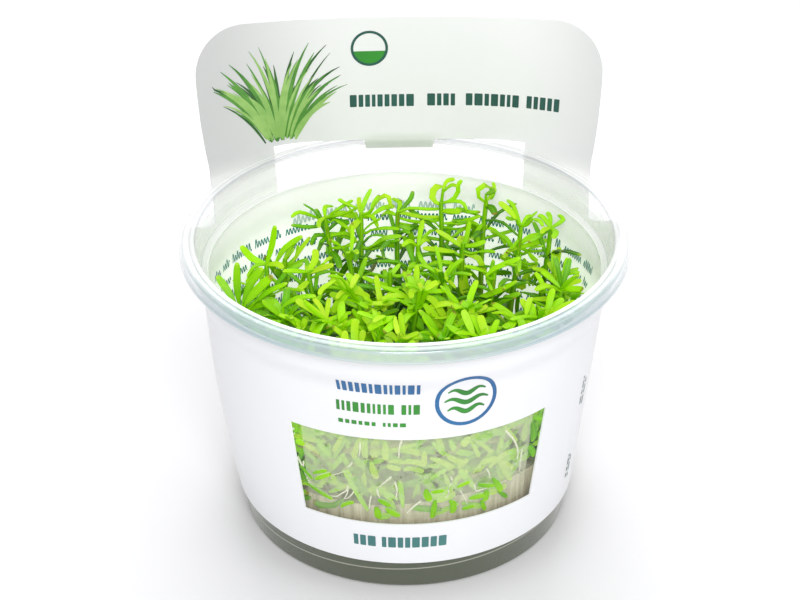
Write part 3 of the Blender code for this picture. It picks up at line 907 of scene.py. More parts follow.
printSet = {
    "seed": 8,
    "strip": 1.5,
    "blockGap": 0.45,
    # wavy lines, as shares of their height
    "waveStep": 0.065,
    "wavePeriod": 0.62,
    "waveReach": (1.0, 1.0, 1.0, 1.45),
    # inks: dark and light, and how fine their mottle is
    "inks": {
        "blueInk": ((0.006, 0.10, 0.28), (0.012, 0.15, 0.36), 40.0),
        "greenInk": ((0.01, 0.17, 0.012), (0.03, 0.30, 0.02), 40.0),
        "tealInk": ((0.03, 0.15, 0.15), (0.05, 0.20, 0.19), 40.0),
        "brightTealInk": ((0.03, 0.26, 0.25), (0.06, 0.33, 0.31), 40.0),
        "darkTealInk": ((0.008, 0.07, 0.055), (0.012, 0.09, 0.07), 40.0),
        "paleTealInk": ((0.55, 0.72, 0.69), (0.62, 0.77, 0.74), 40.0),
        "deepLeafInk": ((0.012, 0.07, 0.012), (0.03, 0.12, 0.02), 300.0),
        "leafInk": ((0.05, 0.19, 0.025), (0.10, 0.30, 0.04), 300.0),
        "paleLeafInk": ((0.22, 0.42, 0.10), (0.32, 0.52, 0.15), 300.0),
    },
    # front words: x, z, width, height
    "blueWords": [(-15.4, 53.6, 17.2, 2.9)],
    "greenWords": [(-15.4, 48.4, 12.0, 2.5), (-1.9, 48.4, 3.7, 2.5)],
    "smallWords": [(-15.4, 45.2, 8.2, 1.0), (-6.2, 45.2, 5.2, 1.0)],
    "lowWords": [(-13.7, 12.2, 5.6, 2.9), (-6.7, 12.2, 15.2, 2.9)],
    "titleWords": [(-11.2, 75.1, 15.6, 2.9), (6.4, 75.2, 6.6, 2.9), (15.2, 75.3, 12.2, 2.9),
                   (29.2, 75.4, 8.0, 2.9)],
    # x, z, radius, line
    "roundel": (11.3, 51.0, 6.1, 0.85),
    "waves": ((2.3, 3.9), (0.0, 4.6), (-2.3, 3.9)),
    "sign": (-6.6, 89.1, 3.9, 0.6),
    # upright lines of print at the right: x, low, high
    "sideLines": ((48.6, 33.0, 40.4), (50.3, 32.2, 39.0), (47.2, 14.0, 20.4), (48.6, 13.6, 19.6)),
    "sideLineWide": 0.7,
    # tuft of blades on the header: ink, count and height off the card for each layer
    "tuftRoot": (-27.6, 68.2),
    "tuftHalf": 3.4,
    "tuftLean": 52.0,
    "tuftLayers": (("deepLeafInk", 26, 0.04), ("leafInk", 30, 0.055), ("paleLeafInk", 20, 0.07)),
    "tuftEdge": (-42.5, 95.3),
    # rows inside the back
    "rows": 6,
    "rowTop": 45.7,
    "rowStep": 4.0,
    "rowTilt": 0.008,
    "rowBow": 0.065,
    "rowEnds": (-58.0, 60.0),
    "heading": (-27.0, 20.0, 49.2),
}


def makePrints():
    s = printSet
    rng = random.Random(s["seed"])
    inks = {name: ink(name, *look) for name, look in s["inks"].items()}

    def frontWords(words, narrow=0.5, broad=1.3):
        made = []
        for x, z, width, height in words:
            made += blocks(rng, frontX(x, width), z, width, height, narrow, broad)
        return made

    # roundel with three waves, beside rows of blocks
    x, z, radius, line = s["roundel"]
    waves = []
    for rise, reach in s["waves"]:
        points = [
            (frontX(x + reach * (n / 12 - 1)), z + rise + 0.6 * math.sin(n / 24 * math.tau * 1.5))
            for n in range(25)
        ]
        waves.append(stroke(points, [0.35 + 0.85 * math.sin(math.pi * n / 24) for n in range(25)]))
    ring = ringStroke(frontX(x), z, radius, line)
    printed("frontBlue", frontWords(s["blueWords"]) + [ring], 1, inks["blueInk"])
    words = frontWords(s["greenWords"] + s["smallWords"])
    printed("frontGreen", words + waves, 1, inks["greenInk"])
    printed("frontLow", frontWords(s["lowWords"], 0.9, 1.9), 1, inks["tealInk"])

    # small upright lines of print at the right
    dashes, wide = [], s["sideLineWide"]
    for x, low, high in s["sideLines"]:
        z = low
        while z < high:
            length = rng.uniform(0.9, 2.4)
            dashes.append(bar(frontX(x, wide), z, wide, min(length, high - z)))
            z += length + 0.6
    printed("sideDashes", dashes, 1, inks["darkTealInk"])

    # header: title, a round sign and a tuft of blades
    title = []
    for place in s["titleWords"]:
        title += blocks(rng, *place, 0.8, 1.9)
    printed("headerTitle", title, -1, inks["darkTealInk"])
    x, z, radius, line = s["sign"]
    printed("headerSign", [ringStroke(x, z, radius, line)], -1, inks["darkTealInk"], 0.06)
    fill = filled(arc(x, z, radius - 0.2, 190, 350, 24))
    printed("headerSignFill", [fill], -1, inks["greenInk"])
    rootX, rootZ = s["tuftRoot"]
    leftEdge, topEdge = s["tuftEdge"]
    for layer, (inkName, count, off) in enumerate(s["tuftLayers"]):
        blades = []
        for number in range(count):
            share = (number + rng.uniform(0.2, 0.8)) / count * 2 - 1
            length = rng.uniform(13, 27) * (1 - 0.28 * abs(share)) * (1 - 0.06 * layer)
            lean = math.radians(s["tuftLean"] * share + rng.uniform(-8, 8))
            curl = math.radians(rng.uniform(8, 34)) * (1 if share > 0 else -1)
            x = rootX + s["tuftHalf"] * share + rng.uniform(-0.6, 0.6)
            points, z = [], rootZ + rng.uniform(0, 1.2)
            for step in range(11):
                points.append((max(leftEdge, x), min(topEdge, z)))
                turn = lean * 0.55 + curl * (step / 10) ** 1.5 + lean * 0.45 * step / 10
                x += length / 10 * math.sin(turn)
                z += length / 10 * math.cos(turn)
            wide = rng.uniform(0.55, 1.15)
            widths = [wide * (0.5 + 0.5 * math.sin(math.pi * step / 6)) for step in range(5)]
            widths += [wide * (1 - ((step - 4) / 6.3) ** 2) for step in range(5, 11)]
            blades.append(stroke(points, widths))
        printed(f"tuft{layer}", blades, -1, inks[inkName], off)

    # rows of small print inside the back, following its bend, and a paler heading above them
    def rowHeight(across, row):
        bow = s["rowBow"] * math.sqrt(across**2 + 100.0)
        return s["rowTop"] + bow + s["rowTilt"] * across - row * s["rowStep"]

    lines, (left, right) = [], s["rowEnds"]
    for row in range(s["rows"]):
        across = left + 3 * row
        while across < right - 2 * row:
            length = rng.uniform(2.2, 8.5)
            z = rowHeight(across, row)
            rise = (rowHeight(across + length, row) - z) / length
            lines.append(scribble(rng, across, z, length, 1.5, 0.33, rise))
            across += length + 1.2
    printed("innerRows", lines, -1, inks["brightTealInk"])
    lines, (across, right, z) = [], s["heading"]
    while across < right:
        length = rng.uniform(4, 9)
        lines.append(scribble(rng, across, z, length, 1.8, 0.45))
        across += length + 1.7
    printed("innerHeading", lines, -1, inks["paleTealInk"])


# Leaves that the picture shows apart, by the number of their shoot. Each is a list of picture
# places from base to tip, then its width in picture units and its tone, 0 dark to 1 pale yellow.

pictureSet = {
    # the picture's size, and how many of its units make a millimetre at the plants
    "wide": 800.0,
    "high": 600.0,
    "unitsPerMm": 3.9,
    # a leaf's length, and how much of what the picture doesn't show of it may swing away
    "reach": 9.0,
    "swing": 0.6,
    "swingMost": 5.0,
    "away": (-0.6, 0.6),
    "leanLeast": 0.4,
    "twist": 0.3,
    # farther than this from its stem a leaf stands on a twig of a given width, thickness, tone
    "nearStem": 7.0,
    "twigDepth": (-1.5, 1.0),
    "twigSag": 0.6,
    "twig": (0.8, 0.8, 0.45),
    "leaves": {
        1: [
            (((440, 205), (433, 200), (433, 191), (438, 186), (446, 187)), 6, 0.9),
            (((443, 189), (447, 181), (455, 179)), 3.5, 0.8),
            (((443, 192), (451, 185), (457, 186)), 3, 0.7),
            (((441, 200), (452, 200), (458, 192), (458, 185), (462, 180)), 4, 0.6),
            (((442, 202), (455, 201), (463, 203), (467, 211)), 3.2, 0.6),
            (((445, 210), (452, 211), (461, 212)), 5, 0.75),
            (((448, 222), (462, 222), (480, 216)), 3.4, 0.6),
            (((462, 211), (470, 212), (480, 212)), 3.2, 0.5),
            (((453, 237), (463, 229), (475, 226)), 3.4, 0.6),
            (((470, 227), (487, 227), (499, 234), (506, 246)), 3.4, 0.7),
        ],
        2: [
            (((485, 203), (477, 195), (480, 187), (488, 185), (493, 191), (491, 199)), 5, 0.75),
            (((488, 196), (494, 190), (493, 182)), 3.2, 0.8),
            (((486, 194), (491, 192), (496, 190)), 4, 0.35),
            (((486, 205), (492, 208), (495, 214)), 6, 0.1),
            (((480, 222), (477, 232), (479, 244)), 4, 0.5),
            (((483, 238), (500, 234), (515, 230)), 3, 0.5),
            (((481, 228), (472, 222), (466, 226)), 3.4, 0.6),
        ],
        3: [
            (((398, 213), (400, 203), (392, 198)), 4, 0.7),
            (((400, 214), (407, 203), (411, 198), (413, 191)), 4, 0.2),
            (((402, 211), (410, 208), (425, 209), (440, 209)), 2.8, 0.6),
            (((400, 214), (405, 213), (420, 217), (442, 217)), 3.4, 0.9),
            (((400, 218), (411, 221), (425, 222), (444, 219)), 3, 0.6),
            (((400, 222), (412, 226), (425, 227)), 3, 0.6),
            (((419, 237), (430, 238), (441, 240)), 3, 0.5),
            (((402, 226), (410, 230), (412, 245), (411, 258)), 5, 0.5),
            (((420, 228), (418, 245), (422, 258)), 3.4, 0.15),
            (((397, 216), (388, 212), (381, 216)), 3.6, 0.7),
        ],
        4: [
            (((359, 215), (359, 205), (359, 197)), 4, 0.9),
            (((363, 214), (364, 203), (371, 189)), 4, 0.6),
            (((362, 216), (372, 216), (378, 227)), 4, 0.6),
            (((358, 219), (354, 225), (349, 232)), 6, 0.9),
            (((371, 212), (374, 203), (380, 195)), 4, 0.6),
            (((373, 208), (380, 198), (388, 196), (391, 208)), 4, 0.9),
            (((372, 215), (383, 208), (395, 206)), 4, 0.6),
            (((371, 230), (385, 228), (400, 229)), 3, 0.5),
            (((372, 246), (385, 238), (402, 236)), 4, 0.6),
            (((372, 247), (385, 243), (400, 240)), 3, 0.2),
            (((381, 247), (383, 253), (384, 258)), 3, 0.3),
            (((362, 238), (357, 250), (355, 262)), 5, 0.2),
        ],
        5: [
            (((318, 218), (300, 212), (291, 217)), 3.2, 0.6),
            (((327, 225), (310, 227), (291, 225)), 3.2, 0.25),
            (((333, 212), (343, 206), (353, 200)), 3, 0.5),
            (((357, 208), (345, 203), (338, 199)), 2.8, 0.6),
            (((332, 213), (345, 214), (355, 216)), 6, 0.9),
            (((330, 216), (340, 221), (350, 223)), 4, 0.2),
            (((334, 219), (342, 224), (349, 229)), 3, 0.5),
            (((324, 214), (325, 207), (333, 206)), 4, 0.6),
            (((320, 217), (319, 222), (319, 227)), 4, 0.9),
            (((326, 236), (316, 235), (311, 245)), 4, 0.2),
            (((326, 238), (322, 241), (320, 247)), 4, 0.2),
            (((330, 249), (345, 247), (357, 240)), 3.2, 0.6),
            (((334, 237), (345, 233), (357, 240)), 3.2, 0.6),
            (((333, 250), (337, 258), (340, 268)), 6, 0.2),
        ],
        6: [
            (((516, 219), (509, 210), (499, 202)), 5, 0.9),
            (((516, 219), (511, 219), (506, 217)), 3.4, 0.6),
            (((521, 220), (527, 217), (533, 216)), 3.2, 0.6),
            (((533, 219), (540, 221), (543, 226)), 3.4, 0.6),
            (((520, 246), (530, 237), (541, 235)), 5, 0.6),
            (((522, 248), (535, 243), (548, 240)), 5, 0.7),
            (((521, 247), (510, 250), (503, 258)), 4, 0.9),
            (((519, 238), (513, 247), (509, 250)), 3, 0.5),
            (((528, 252), (533, 258), (537, 261)), 4, 0.6),
            (((520, 255), (517, 266), (518, 276)), 4, 0.5),
            (((538, 263), (528, 272), (521, 290)), 5, 0.9),
            (((545, 250), (549, 262), (552, 270)), 4, 0.2),
        ],
        7: [
            (((276, 262), (285, 248), (302, 236)), 5, 0.6),
            (((278, 262), (287, 255), (294, 243)), 4, 0.6),
            (((287, 266), (296, 257), (298, 245)), 3, 0.5),
            (((293, 262), (300, 250), (310, 237)), 3.5, 0.9),
            (((285, 268), (297, 263), (307, 259)), 3, 0.5),
        ],
        8: [
            (((461, 246), (460, 241), (462, 236)), 6, 1.0),
            (((463, 245), (467, 240), (466, 236)), 5, 0.95),
            (((459, 247), (448, 237), (436, 230)), 4, 0.9),
            (((455, 252), (440, 250), (423, 248)), 4.5, 0.9),
            (((466, 246), (475, 245), (486, 241)), 4, 0.6),
            (((466, 252), (478, 258), (486, 275)), 5, 0.9),
            (((478, 252), (487, 251), (495, 252)), 3, 0.5),
            (((460, 255), (462, 268), (467, 290)), 6, 0.7),
            (((459, 275), (463, 290), (474, 301)), 6, 0.85),
        ],
        9: [
            (((418, 273), (432, 264), (447, 262), (462, 269)), 4, 0.6),
            (((418, 247), (410, 241), (402, 246)), 4, 0.7),
            (((419, 247), (424, 240), (430, 241)), 3.6, 0.8),
            (((419, 250), (421, 259), (427, 266)), 4, 0.5),
        ],
        11: [
            (((268, 262), (272, 245), (275, 226)), 5, 0.6),
            (((266, 262), (252, 258), (241, 246)), 6, 0.65),
            (((266, 264), (255, 266), (247, 277)), 3, 0.5),
            (((270, 263), (277, 264), (283, 268)), 5, 0.9),
            (((265, 270), (255, 272), (246, 283)), 4, 0.55),
        ],
        12: [
            (((313, 270), (315, 260), (315, 249)), 6, 0.9),
            (((313, 272), (322, 268), (333, 265)), 5, 1.0),
            (((305, 273), (297, 271), (283, 271)), 4, 0.6),
            (((309, 271), (307, 267), (307, 263)), 4, 1.0),
            (((309, 280), (303, 286), (297, 291)), 5, 0.9),
            (((312, 287), (308, 288), (304, 289)), 4, 0.9),
            (((324, 263), (328, 259), (332, 257)), 3, 0.9),
        ],
        13: [
            (((384, 296), (386, 300), (387, 305)), 5, 1.0),
            (((383, 300), (378, 294), (374, 288)), 5, 0.9),
            (((388, 298), (390, 293), (391, 288)), 5, 0.9),
            (((387, 308), (375, 309), (362, 313), (348, 319)), 4, 0.9),
            (((388, 287), (391, 275), (400, 264)), 4, 0.6),
            (((394, 276), (400, 276), (408, 272)), 3, 0.5),
            (((385, 286), (375, 282), (363, 277)), 4, 0.6),
            (((395, 295), (400, 293), (406, 292)), 3, 0.5),
        ],
        14: [
            (((435, 268), (445, 277), (456, 288)), 3.2, 0.9),
            (((442, 279), (436, 285), (433, 293)), 4, 0.6),
            (((442, 277), (448, 272), (452, 265)), 4, 0.7),
        ],
        15: [
            (((486, 276), (495, 268), (510, 262), (520, 258)), 4.4, 0.6),
            (((486, 278), (489, 284), (492, 291)), 2.8, 0.5),
            (((485, 272), (475, 268), (465, 266)), 3.2, 0.6),
            (((476, 299), (495, 293), (517, 281)), 4, 0.6),
            (((493, 313), (498, 318), (508, 330)), 6, 0.7),
            (((486, 312), (491, 320), (495, 328)), 5, 0.6),
            (((478, 298), (490, 294), (505, 288)), 5, 0.6),
            (((485, 307), (504, 300), (520, 293)), 5, 0.35),
        ],
        16: [
            (((550, 224), (544, 218), (538, 215)), 4, 0.6),
            (((551, 223), (550, 217), (547, 212)), 4, 0.6),
            (((555, 228), (563, 220), (560, 214)), 4, 0.6),
            (((554, 226), (556, 232), (553, 238)), 5, 0.6),
            (((549, 225), (545, 229), (541, 233)), 4, 0.9),
        ],
        17: [
            (((239, 303), (237, 285), (237, 263)), 6, 0.45),
            (((234, 300), (226, 288), (217, 276)), 6, 0.45),
            (((243, 303), (250, 285), (262, 268)), 6, 0.45),
            (((246, 303), (257, 290), (272, 276)), 7, 0.55),
            (((255, 302), (268, 292), (287, 283)), 4, 0.45),
            (((248, 309), (262, 303), (270, 305), (285, 309)), 7.5, 0.45),
            (((255, 311), (270, 317), (288, 322)), 6, 0.3),
        ],
        18: [
            (((347, 288), (338, 282), (330, 279)), 6, 0.9),
            (((351, 288), (354, 281), (358, 274)), 5, 1.0),
            (((352, 292), (360, 293), (370, 297)), 5, 0.9),
            (((350, 290), (341, 300), (332, 313)), 7, 0.7),
            (((349, 291), (342, 292), (336, 299)), 4, 1.0),
            (((345, 289), (333, 287), (326, 288)), 2.8, 0.6),
            (((352, 298), (360, 303), (368, 308)), 4, 0.6),
            (((342, 278), (335, 276), (328, 276)), 3, 0.6),
            (((336, 280), (323, 288), (319, 295)), 4, 0.9),
        ],
        19: [
            (((421, 290), (421, 287), (419, 283)), 4, 1.0),
            (((424, 290), (427, 286), (429, 280)), 4, 0.7),
            (((426, 290), (432, 285), (438, 282)), 5, 0.9),
            (((428, 292), (437, 291), (446, 291)), 4, 0.6),
            (((419, 289), (412, 285), (406, 285)), 4, 0.6),
            (((419, 290), (412, 291), (411, 298)), 5, 0.9),
            (((422, 295), (433, 300), (440, 310), (446, 319)), 6, 0.9),
            (((424, 304), (430, 311), (437, 320), (443, 331)), 7, 0.8),
            (((421, 300), (412, 301), (404, 300)), 5, 0.5),
            (((423, 330), (414, 318), (401, 311)), 8, 0.45),
        ],
        20: [
            (((440, 329), (450, 322), (462, 319)), 5, 0.9),
            (((482, 306), (471, 306), (460, 302)), 6, 0.45),
            (((472, 314), (480, 310), (488, 305)), 4, 1.0),
        ],
        21: [
            (((325, 316), (310, 308), (296, 300)), 6, 0.9),
            (((326, 314), (320, 306), (313, 298)), 4, 1.0),
            (((327, 315), (328, 306), (329, 298)), 4, 0.9),
            (((324, 319), (316, 323), (311, 332)), 5, 0.6),
            (((330, 319), (341, 319), (350, 325)), 6, 0.85),
            (((330, 324), (348, 329), (366, 336)), 5, 0.6),
            (((322, 332), (331, 326), (341, 327)), 8, 0.45),
        ],
        22: [
            (((283, 307), (291, 301), (302, 297), (316, 296)), 4.4, 0.5),
            (((284, 314), (292, 318), (300, 324)), 4, 0.2),
        ],
        23: [
            (((559, 284), (558, 268), (555, 256)), 4, 0.2),
            (((563, 284), (567, 270), (570, 258)), 4.5, 0.25),
            (((563, 287), (572, 283), (582, 280)), 4, 0.9),
            (((564, 289), (574, 289), (583, 289)), 5.5, 0.7),
            (((561, 288), (557, 285), (554, 281)), 4, 0.9),
            (((560, 290), (550, 288), (541, 284)), 3.2, 0.9),
            (((556, 286), (549, 277), (541, 271)), 4, 0.6),
            (((545, 291), (541, 281), (535, 272)), 4, 0.6),
            (((530, 299), (545, 299), (556, 297)), 4, 0.9),
        ],
        24: [
            (((526, 315), (528, 305), (531, 297)), 5, 0.85),
            (((515, 325), (508, 316), (500, 310)), 5, 0.5),
            (((514, 328), (521, 325), (530, 322)), 4, 0.7),
            (((510, 328), (510, 322), (508, 317)), 4, 0.9),
        ],
        25: [
            (((396, 317), (385, 320), (376, 324), (368, 330)), 6.5, 0.7),
            (((385, 316), (379, 318), (373, 322)), 4, 0.9),
            (((396, 320), (391, 326), (384, 332)), 6, 0.6),
            (((395, 317), (396, 325), (398, 334)), 4, 1.0),
            (((376, 319), (367, 315), (357, 312)), 4, 0.6),
        ],
        26: [
            (((447, 325), (456, 331), (468, 338)), 5, 0.5),
            (((441, 340), (444, 334), (448, 330)), 5, 0.7),
        ],
        27: [
            (((486, 338), (483, 326), (480, 315)), 6.5, 0.85),
            (((474, 336), (468, 322), (463, 310)), 6, 0.75),
        ],
    },
}


# What the window shows at the cup's wall: picture places, width, tone, and how far in from the wall
windowSet = {
    "pressed": 0.05,
    "near": 0.7,
    "behind": 1.5,
    "pressedLeaves": [
        (((306, 482), (315, 488), (324, 494), (333, 499)), 4.4, 0.42),
        (((300, 466), (306, 471), (313, 479)), 4, 0.32),
        (((315, 479), (322, 476), (331, 473)), 5, 0.57),
        (((313, 473), (320, 471), (327, 470)), 4, 0.42),
        (((301, 470), (303, 475), (305, 480)), 5, 0.15),
        (((378, 499), (384, 502), (391, 506)), 5.5, 0.37),
        (((376, 507), (378, 513), (378, 518)), 6, 0.42),
        (((386, 508), (392, 512), (400, 516)), 6, 0.47),
        (((341, 507), (346, 503), (354, 502)), 4, 0.42),
        (((426, 489), (427, 495), (430, 501)), 6, 0.47),
        (((431, 492), (437, 491), (444, 490)), 5, 0.52),
        (((435, 500), (434, 508), (432, 518)), 5, 0.37),
        (((450, 500), (454, 505), (452, 513)), 6, 0.42),
        (((478, 484), (486, 485), (495, 485)), 5, 0.42),
        (((493, 478), (498, 484), (501, 491)), 6, 0.42),
        (((498, 491), (503, 494), (507, 497)), 4, 0.22),
        (((486, 490), (486, 495), (485, 501)), 6, 0.42),
        (((469, 498), (477, 496), (485, 494)), 6, 0.47),
        (((462, 509), (467, 507), (474, 505)), 5, 0.37),
        (((481, 500), (483, 505), (485, 510)), 4, 0.37),
        (((457, 487), (463, 484), (470, 481)), 4.5, 0.62),
        (((532, 422), (534, 432), (533, 441)), 8, 0.22),
        (((529, 446), (532, 450), (534, 456)), 6, 0.32),
        (((540, 430), (539, 435), (540, 441)), 3.4, 0.57),
        (((533, 417), (538, 418), (543, 419)), 5, 0.37),
        (((295, 433), (297, 427), (296, 421)), 4, 0.42),
        (((296, 440), (300, 442), (304, 442)), 7, 0.67),
    ],
    "nearLeaves": [
        (((343, 434), (339, 442), (333, 452)), 4.4, 1.0),
        (((362, 437), (356, 447), (354, 460)), 5, 1.0),
        (((366, 437), (364, 448), (366, 458)), 6, 0.85),
        (((385, 442), (386, 452), (385, 461)), 6, 0.9),
        (((371, 462), (374, 472), (377, 479)), 6, 0.95),
        (((388, 462), (396, 461), (404, 463)), 4.4, 1.0),
        (((387, 465), (393, 468), (401, 469)), 5, 1.0),
        (((342, 487), (352, 485), (364, 483)), 4.6, 1.0),
        (((364, 473), (364, 482), (363, 490)), 5, 0.9),
        (((361, 494), (372, 489), (386, 488)), 4.6, 0.95),
        (((320, 486), (324, 480), (327, 477)), 5, 0.85),
        (((331, 474), (334, 479), (337, 485)), 5, 0.8),
        (((402, 463), (412, 461), (424, 465)), 5, 0.9),
        (((425, 451), (424, 458), (424, 467)), 5, 1.0),
        (((430, 458), (442, 462), (454, 468)), 5, 0.9),
        (((470, 437), (466, 441), (462, 446)), 6, 1.0),
        (((471, 441), (476, 450), (479, 457)), 4, 0.9),
        (((458, 468), (463, 463), (468, 459)), 4.4, 1.0),
        (((480, 463), (488, 460), (497, 458)), 5, 1.0),
        (((489, 468), (497, 459), (508, 452)), 5, 1.0),
        (((497, 459), (504, 463), (514, 469)), 5, 1.0),
        (((499, 462), (504, 470), (511, 480)), 5, 0.9),
        (((506, 427), (511, 435), (517, 441)), 4, 0.95),
        (((430, 479), (438, 474), (447, 469)), 4, 0.7),
        (((444, 473), (448, 483), (452, 492)), 4, 0.9),
        (((452, 484), (460, 476), (468, 470)), 5, 0.95),
        (((446, 454), (454, 460), (466, 463)), 5, 0.9),
    ],
    "behindLeaves": [
        (((377, 438), (374, 448), (375, 459)), 7, 0.9),
        (((402, 452), (410, 450), (421, 455)), 6, 0.85),
        (((403, 470), (412, 468), (424, 472)), 5, 0.8),
        (((428, 466), (440, 466), (452, 470)), 5, 0.8),
        (((479, 434), (472, 437), (466, 443)), 5, 0.9),
        (((474, 441), (484, 445), (491, 453)), 4, 0.9),
        (((497, 466), (500, 475), (506, 485)), 5, 0.7),
        (((502, 438), (500, 447), (498, 455)), 6, 0.85),
        (((526, 424), (525, 432), (524, 441)), 7, 0.9),
        (((329, 492), (338, 489), (346, 485)), 4, 0.7),
        (((345, 452), (338, 462), (330, 470)), 5, 0.6),
        (((318, 438), (322, 447), (330, 455)), 6, 0.6),
        (((310, 436), (316, 432), (326, 432)), 6, 0.6),
        (((352, 470), (346, 462), (343, 455)), 5, 0.6),
        (((432, 442), (440, 449), (446, 456)), 5, 0.7),
        (((450, 440), (453, 446), (455, 452)), 5, 0.7),
    ],
    "roots": [
        (((402, 440), (399, 449), (399, 458)), 2.0),
        (((391, 477), (385, 482), (379, 487)), 2.0),
        (((395, 482), (397, 490), (396, 498)), 2.0),
        (((377, 489), (378, 494), (380, 498)), 2.0),
        (((371, 496), (370, 502), (369, 509)), 1.8),
        (((348, 489), (347, 494), (344, 499)), 1.5),
        (((421, 501), (413, 507), (407, 513)), 2.0),
        (((506, 431), (514, 440), (518, 451), (517, 459)), 2.2),
        (((487, 469), (489, 473), (490, 478)), 1.5),
        (((460, 490), (464, 497), (468, 505)), 1.3),
        (((360, 443), (360, 450), (359, 456)), 1.8),
        (((293, 428), (295, 430), (294, 434)), 2.0),
    ],
}


# The place on the upright plane at y = depth that a picture place shows, in millimetres
def fromPicture(x, y, depth):
    s = pictureSet
    spread = cameraSet["sensor"] / cameraSet["lens"] / s["wide"]
    ray = viewTurn() @ Vector(((x - s["wide"] / 2) * spread, (s["high"] / 2 - y) * spread, -1))
    eye = Vector(cameraSet["place"])
    return eye + ray * ((depth - eye.y) / ray.y)


def toPicture(point):
    s = pictureSet
    seen = viewTurn().transposed() @ (point - Vector(cameraSet["place"]))
    scale = cameraSet["lens"] / cameraSet["sensor"] * s["wide"] / -seen.z
    return Vector((s["wide"] / 2 + seen.x * scale, s["high"] / 2 - seen.y * scale))


# The place inside the cup's front wall that a picture place shows
def onWallAt(x, y, depth):
    point = Vector((0, -cupSet["base"], 30))
    for _ in range(8):
        reach = innerRadius(point.z) - depth
        point = fromPicture(x, y, -math.sqrt(max(1.0, reach**2 - point.x**2)))
    return point


# Leaves, stems and roots: one template each, laid along its own line and copied

plantSet = {
    "seed": 5,
    "leggyFromY": 7.5,
    # share of the length and of the width
    "leafOutline": [(0.0, 0.42), (0.14, 0.68), (0.32, 0.92), (0.52, 1.0), (0.72, 0.98), (0.86, 0.9),
                    (0.94, 0.74), (0.985, 0.48), (1.0, 0.2)],
    "leafThick": 2.0,
    "blade": 0.15,
    "channel": 0.07,
    # stems: width, thickness and tone
    "stem": (1.3, 1.3, 0.35),
    # each next leaf stands this much further round its stem
    "nextTurn": 137.5,
    # tones grow darker down the stem
    "toneDepth": 14.0,
    "toneFall": 0.5,
    "toneSpread": 0.18,
    # shoots in the open stand: leaf widths, gap leaves, branches, tip leaves and their size
    "full": {"wide": (1.35, 1.85), "gaps": 7, "branches": 2, "tips": 5, "tipSize": 4.2},
    # thin shoots at the back
    "leggy": {"wide": (0.85, 1.3), "gaps": 3, "branches": 0, "tips": 3, "tipSize": 2.6},
    # leaves between the whorls
    "gap": {"place": (0.25, 0.97), "rise": (-5, 55), "length": (5.5, 9.5), "droop": (-0.05, 0.25)},
    # side branches and their leaves
    "branch": {
        "place": (0.3, 0.7), "reach": (4, 8), "tall": (0.35, 0.95), "fromWall": 2.5,
        "stem": (0.9, 0.9, 0.45), "leaves": 7, "leafFrom": 0.35, "leafSpan": 0.6, "rise": (0, 60),
        "length": (4.5, 8.5), "wide": (1.2, 1.7), "droop": (0.0, 0.22), "tips": 4, "tipSize": 3.6,
    },
    # young leaves at a tip
    "young": {"below": (0.3, 1.6), "rise": (25, 78), "size": (0.6, 1.15), "wide": (1.0, 1.5),
              "brighter": 0.25, "droop": 0.1},
    "smoothAngle": 50,
}


# A strap with a blunt round tip, from 0 to 1 along x and 1 wide at its middle
def leafTemplate(name, outline):
    deselect()
    bpy.ops.mesh.primitive_grid_add(x_subdivisions=len(outline) - 1, y_subdivisions=2, size=1)
    leaf = named(name)
    for vert in leaf.data.vertices:
        share, wide = outline[vert.index % len(outline)]
        if abs(vert.co.y) < 0.01:
            vert.co.z = -plantSet["channel"] * math.sin(math.pi * min(1.0, share + 0.1) * 0.9)
        vert.co.y *= wide
        vert.co.x = share
    for loop in leaf.data.loops:
        row, number = divmod(loop.vertex_index, len(outline))
        leaf.data.uv_layers.active.data[loop.index].uv = (outline[number][0], row / 2)
    modify(leaf, "SOLIDIFY", thickness=plantSet["blade"], offset=0.0)
    return leaf


def tubeTemplate(name, sides, rings, taper):
    deselect()
    bpy.ops.mesh.primitive_cylinder_add(vertices=sides, radius=0.5, depth=1, end_fill_type="NGON")
    tube = named(name)
    bpy.ops.object.mode_set(mode="EDIT")
    for number in range(1, rings):
        bpy.ops.mesh.select_all(action="SELECT")
        bpy.ops.mesh.bisect(plane_co=(0, 0, number / rings - 0.5), plane_no=(0, 0, 1))
    bpy.ops.object.mode_set(mode="OBJECT")
    for vert in tube.data.vertices:
        x, y, z = vert.co
        thin = 1.0 - taper * (z + 0.5)
        vert.co = (z + 0.5, x * thin, y * thin)
    faceOutwards(tube)
    return tube


class Line:  # a smooth line through points, with a tangent
    def __init__(self, points):
        self.points = [Vector(point) for point in points]

    def at(self, share):
        spans = len(self.points) - 1
        place = min(max(share, 0.0), 1.0) * spans
        first = min(int(place), spans - 1)
        t = place - first
        p1, p2 = self.points[first], self.points[first + 1]
        p0 = self.points[first - 1] if first > 0 else p1 * 2 - p2
        p3 = self.points[first + 2] if first + 2 <= spans else p2 * 2 - p1
        return 0.5 * (
            2 * p1 + (p2 - p0) * t + (2 * p0 - 5 * p1 + 4 * p2 - p3) * t * t
            + (3 * p1 - p0 - 3 * p2 + p3) * t**3
        )

    def heading(self, share):
        return (self.at(share + 0.01) - self.at(share - 0.01)).normalized()


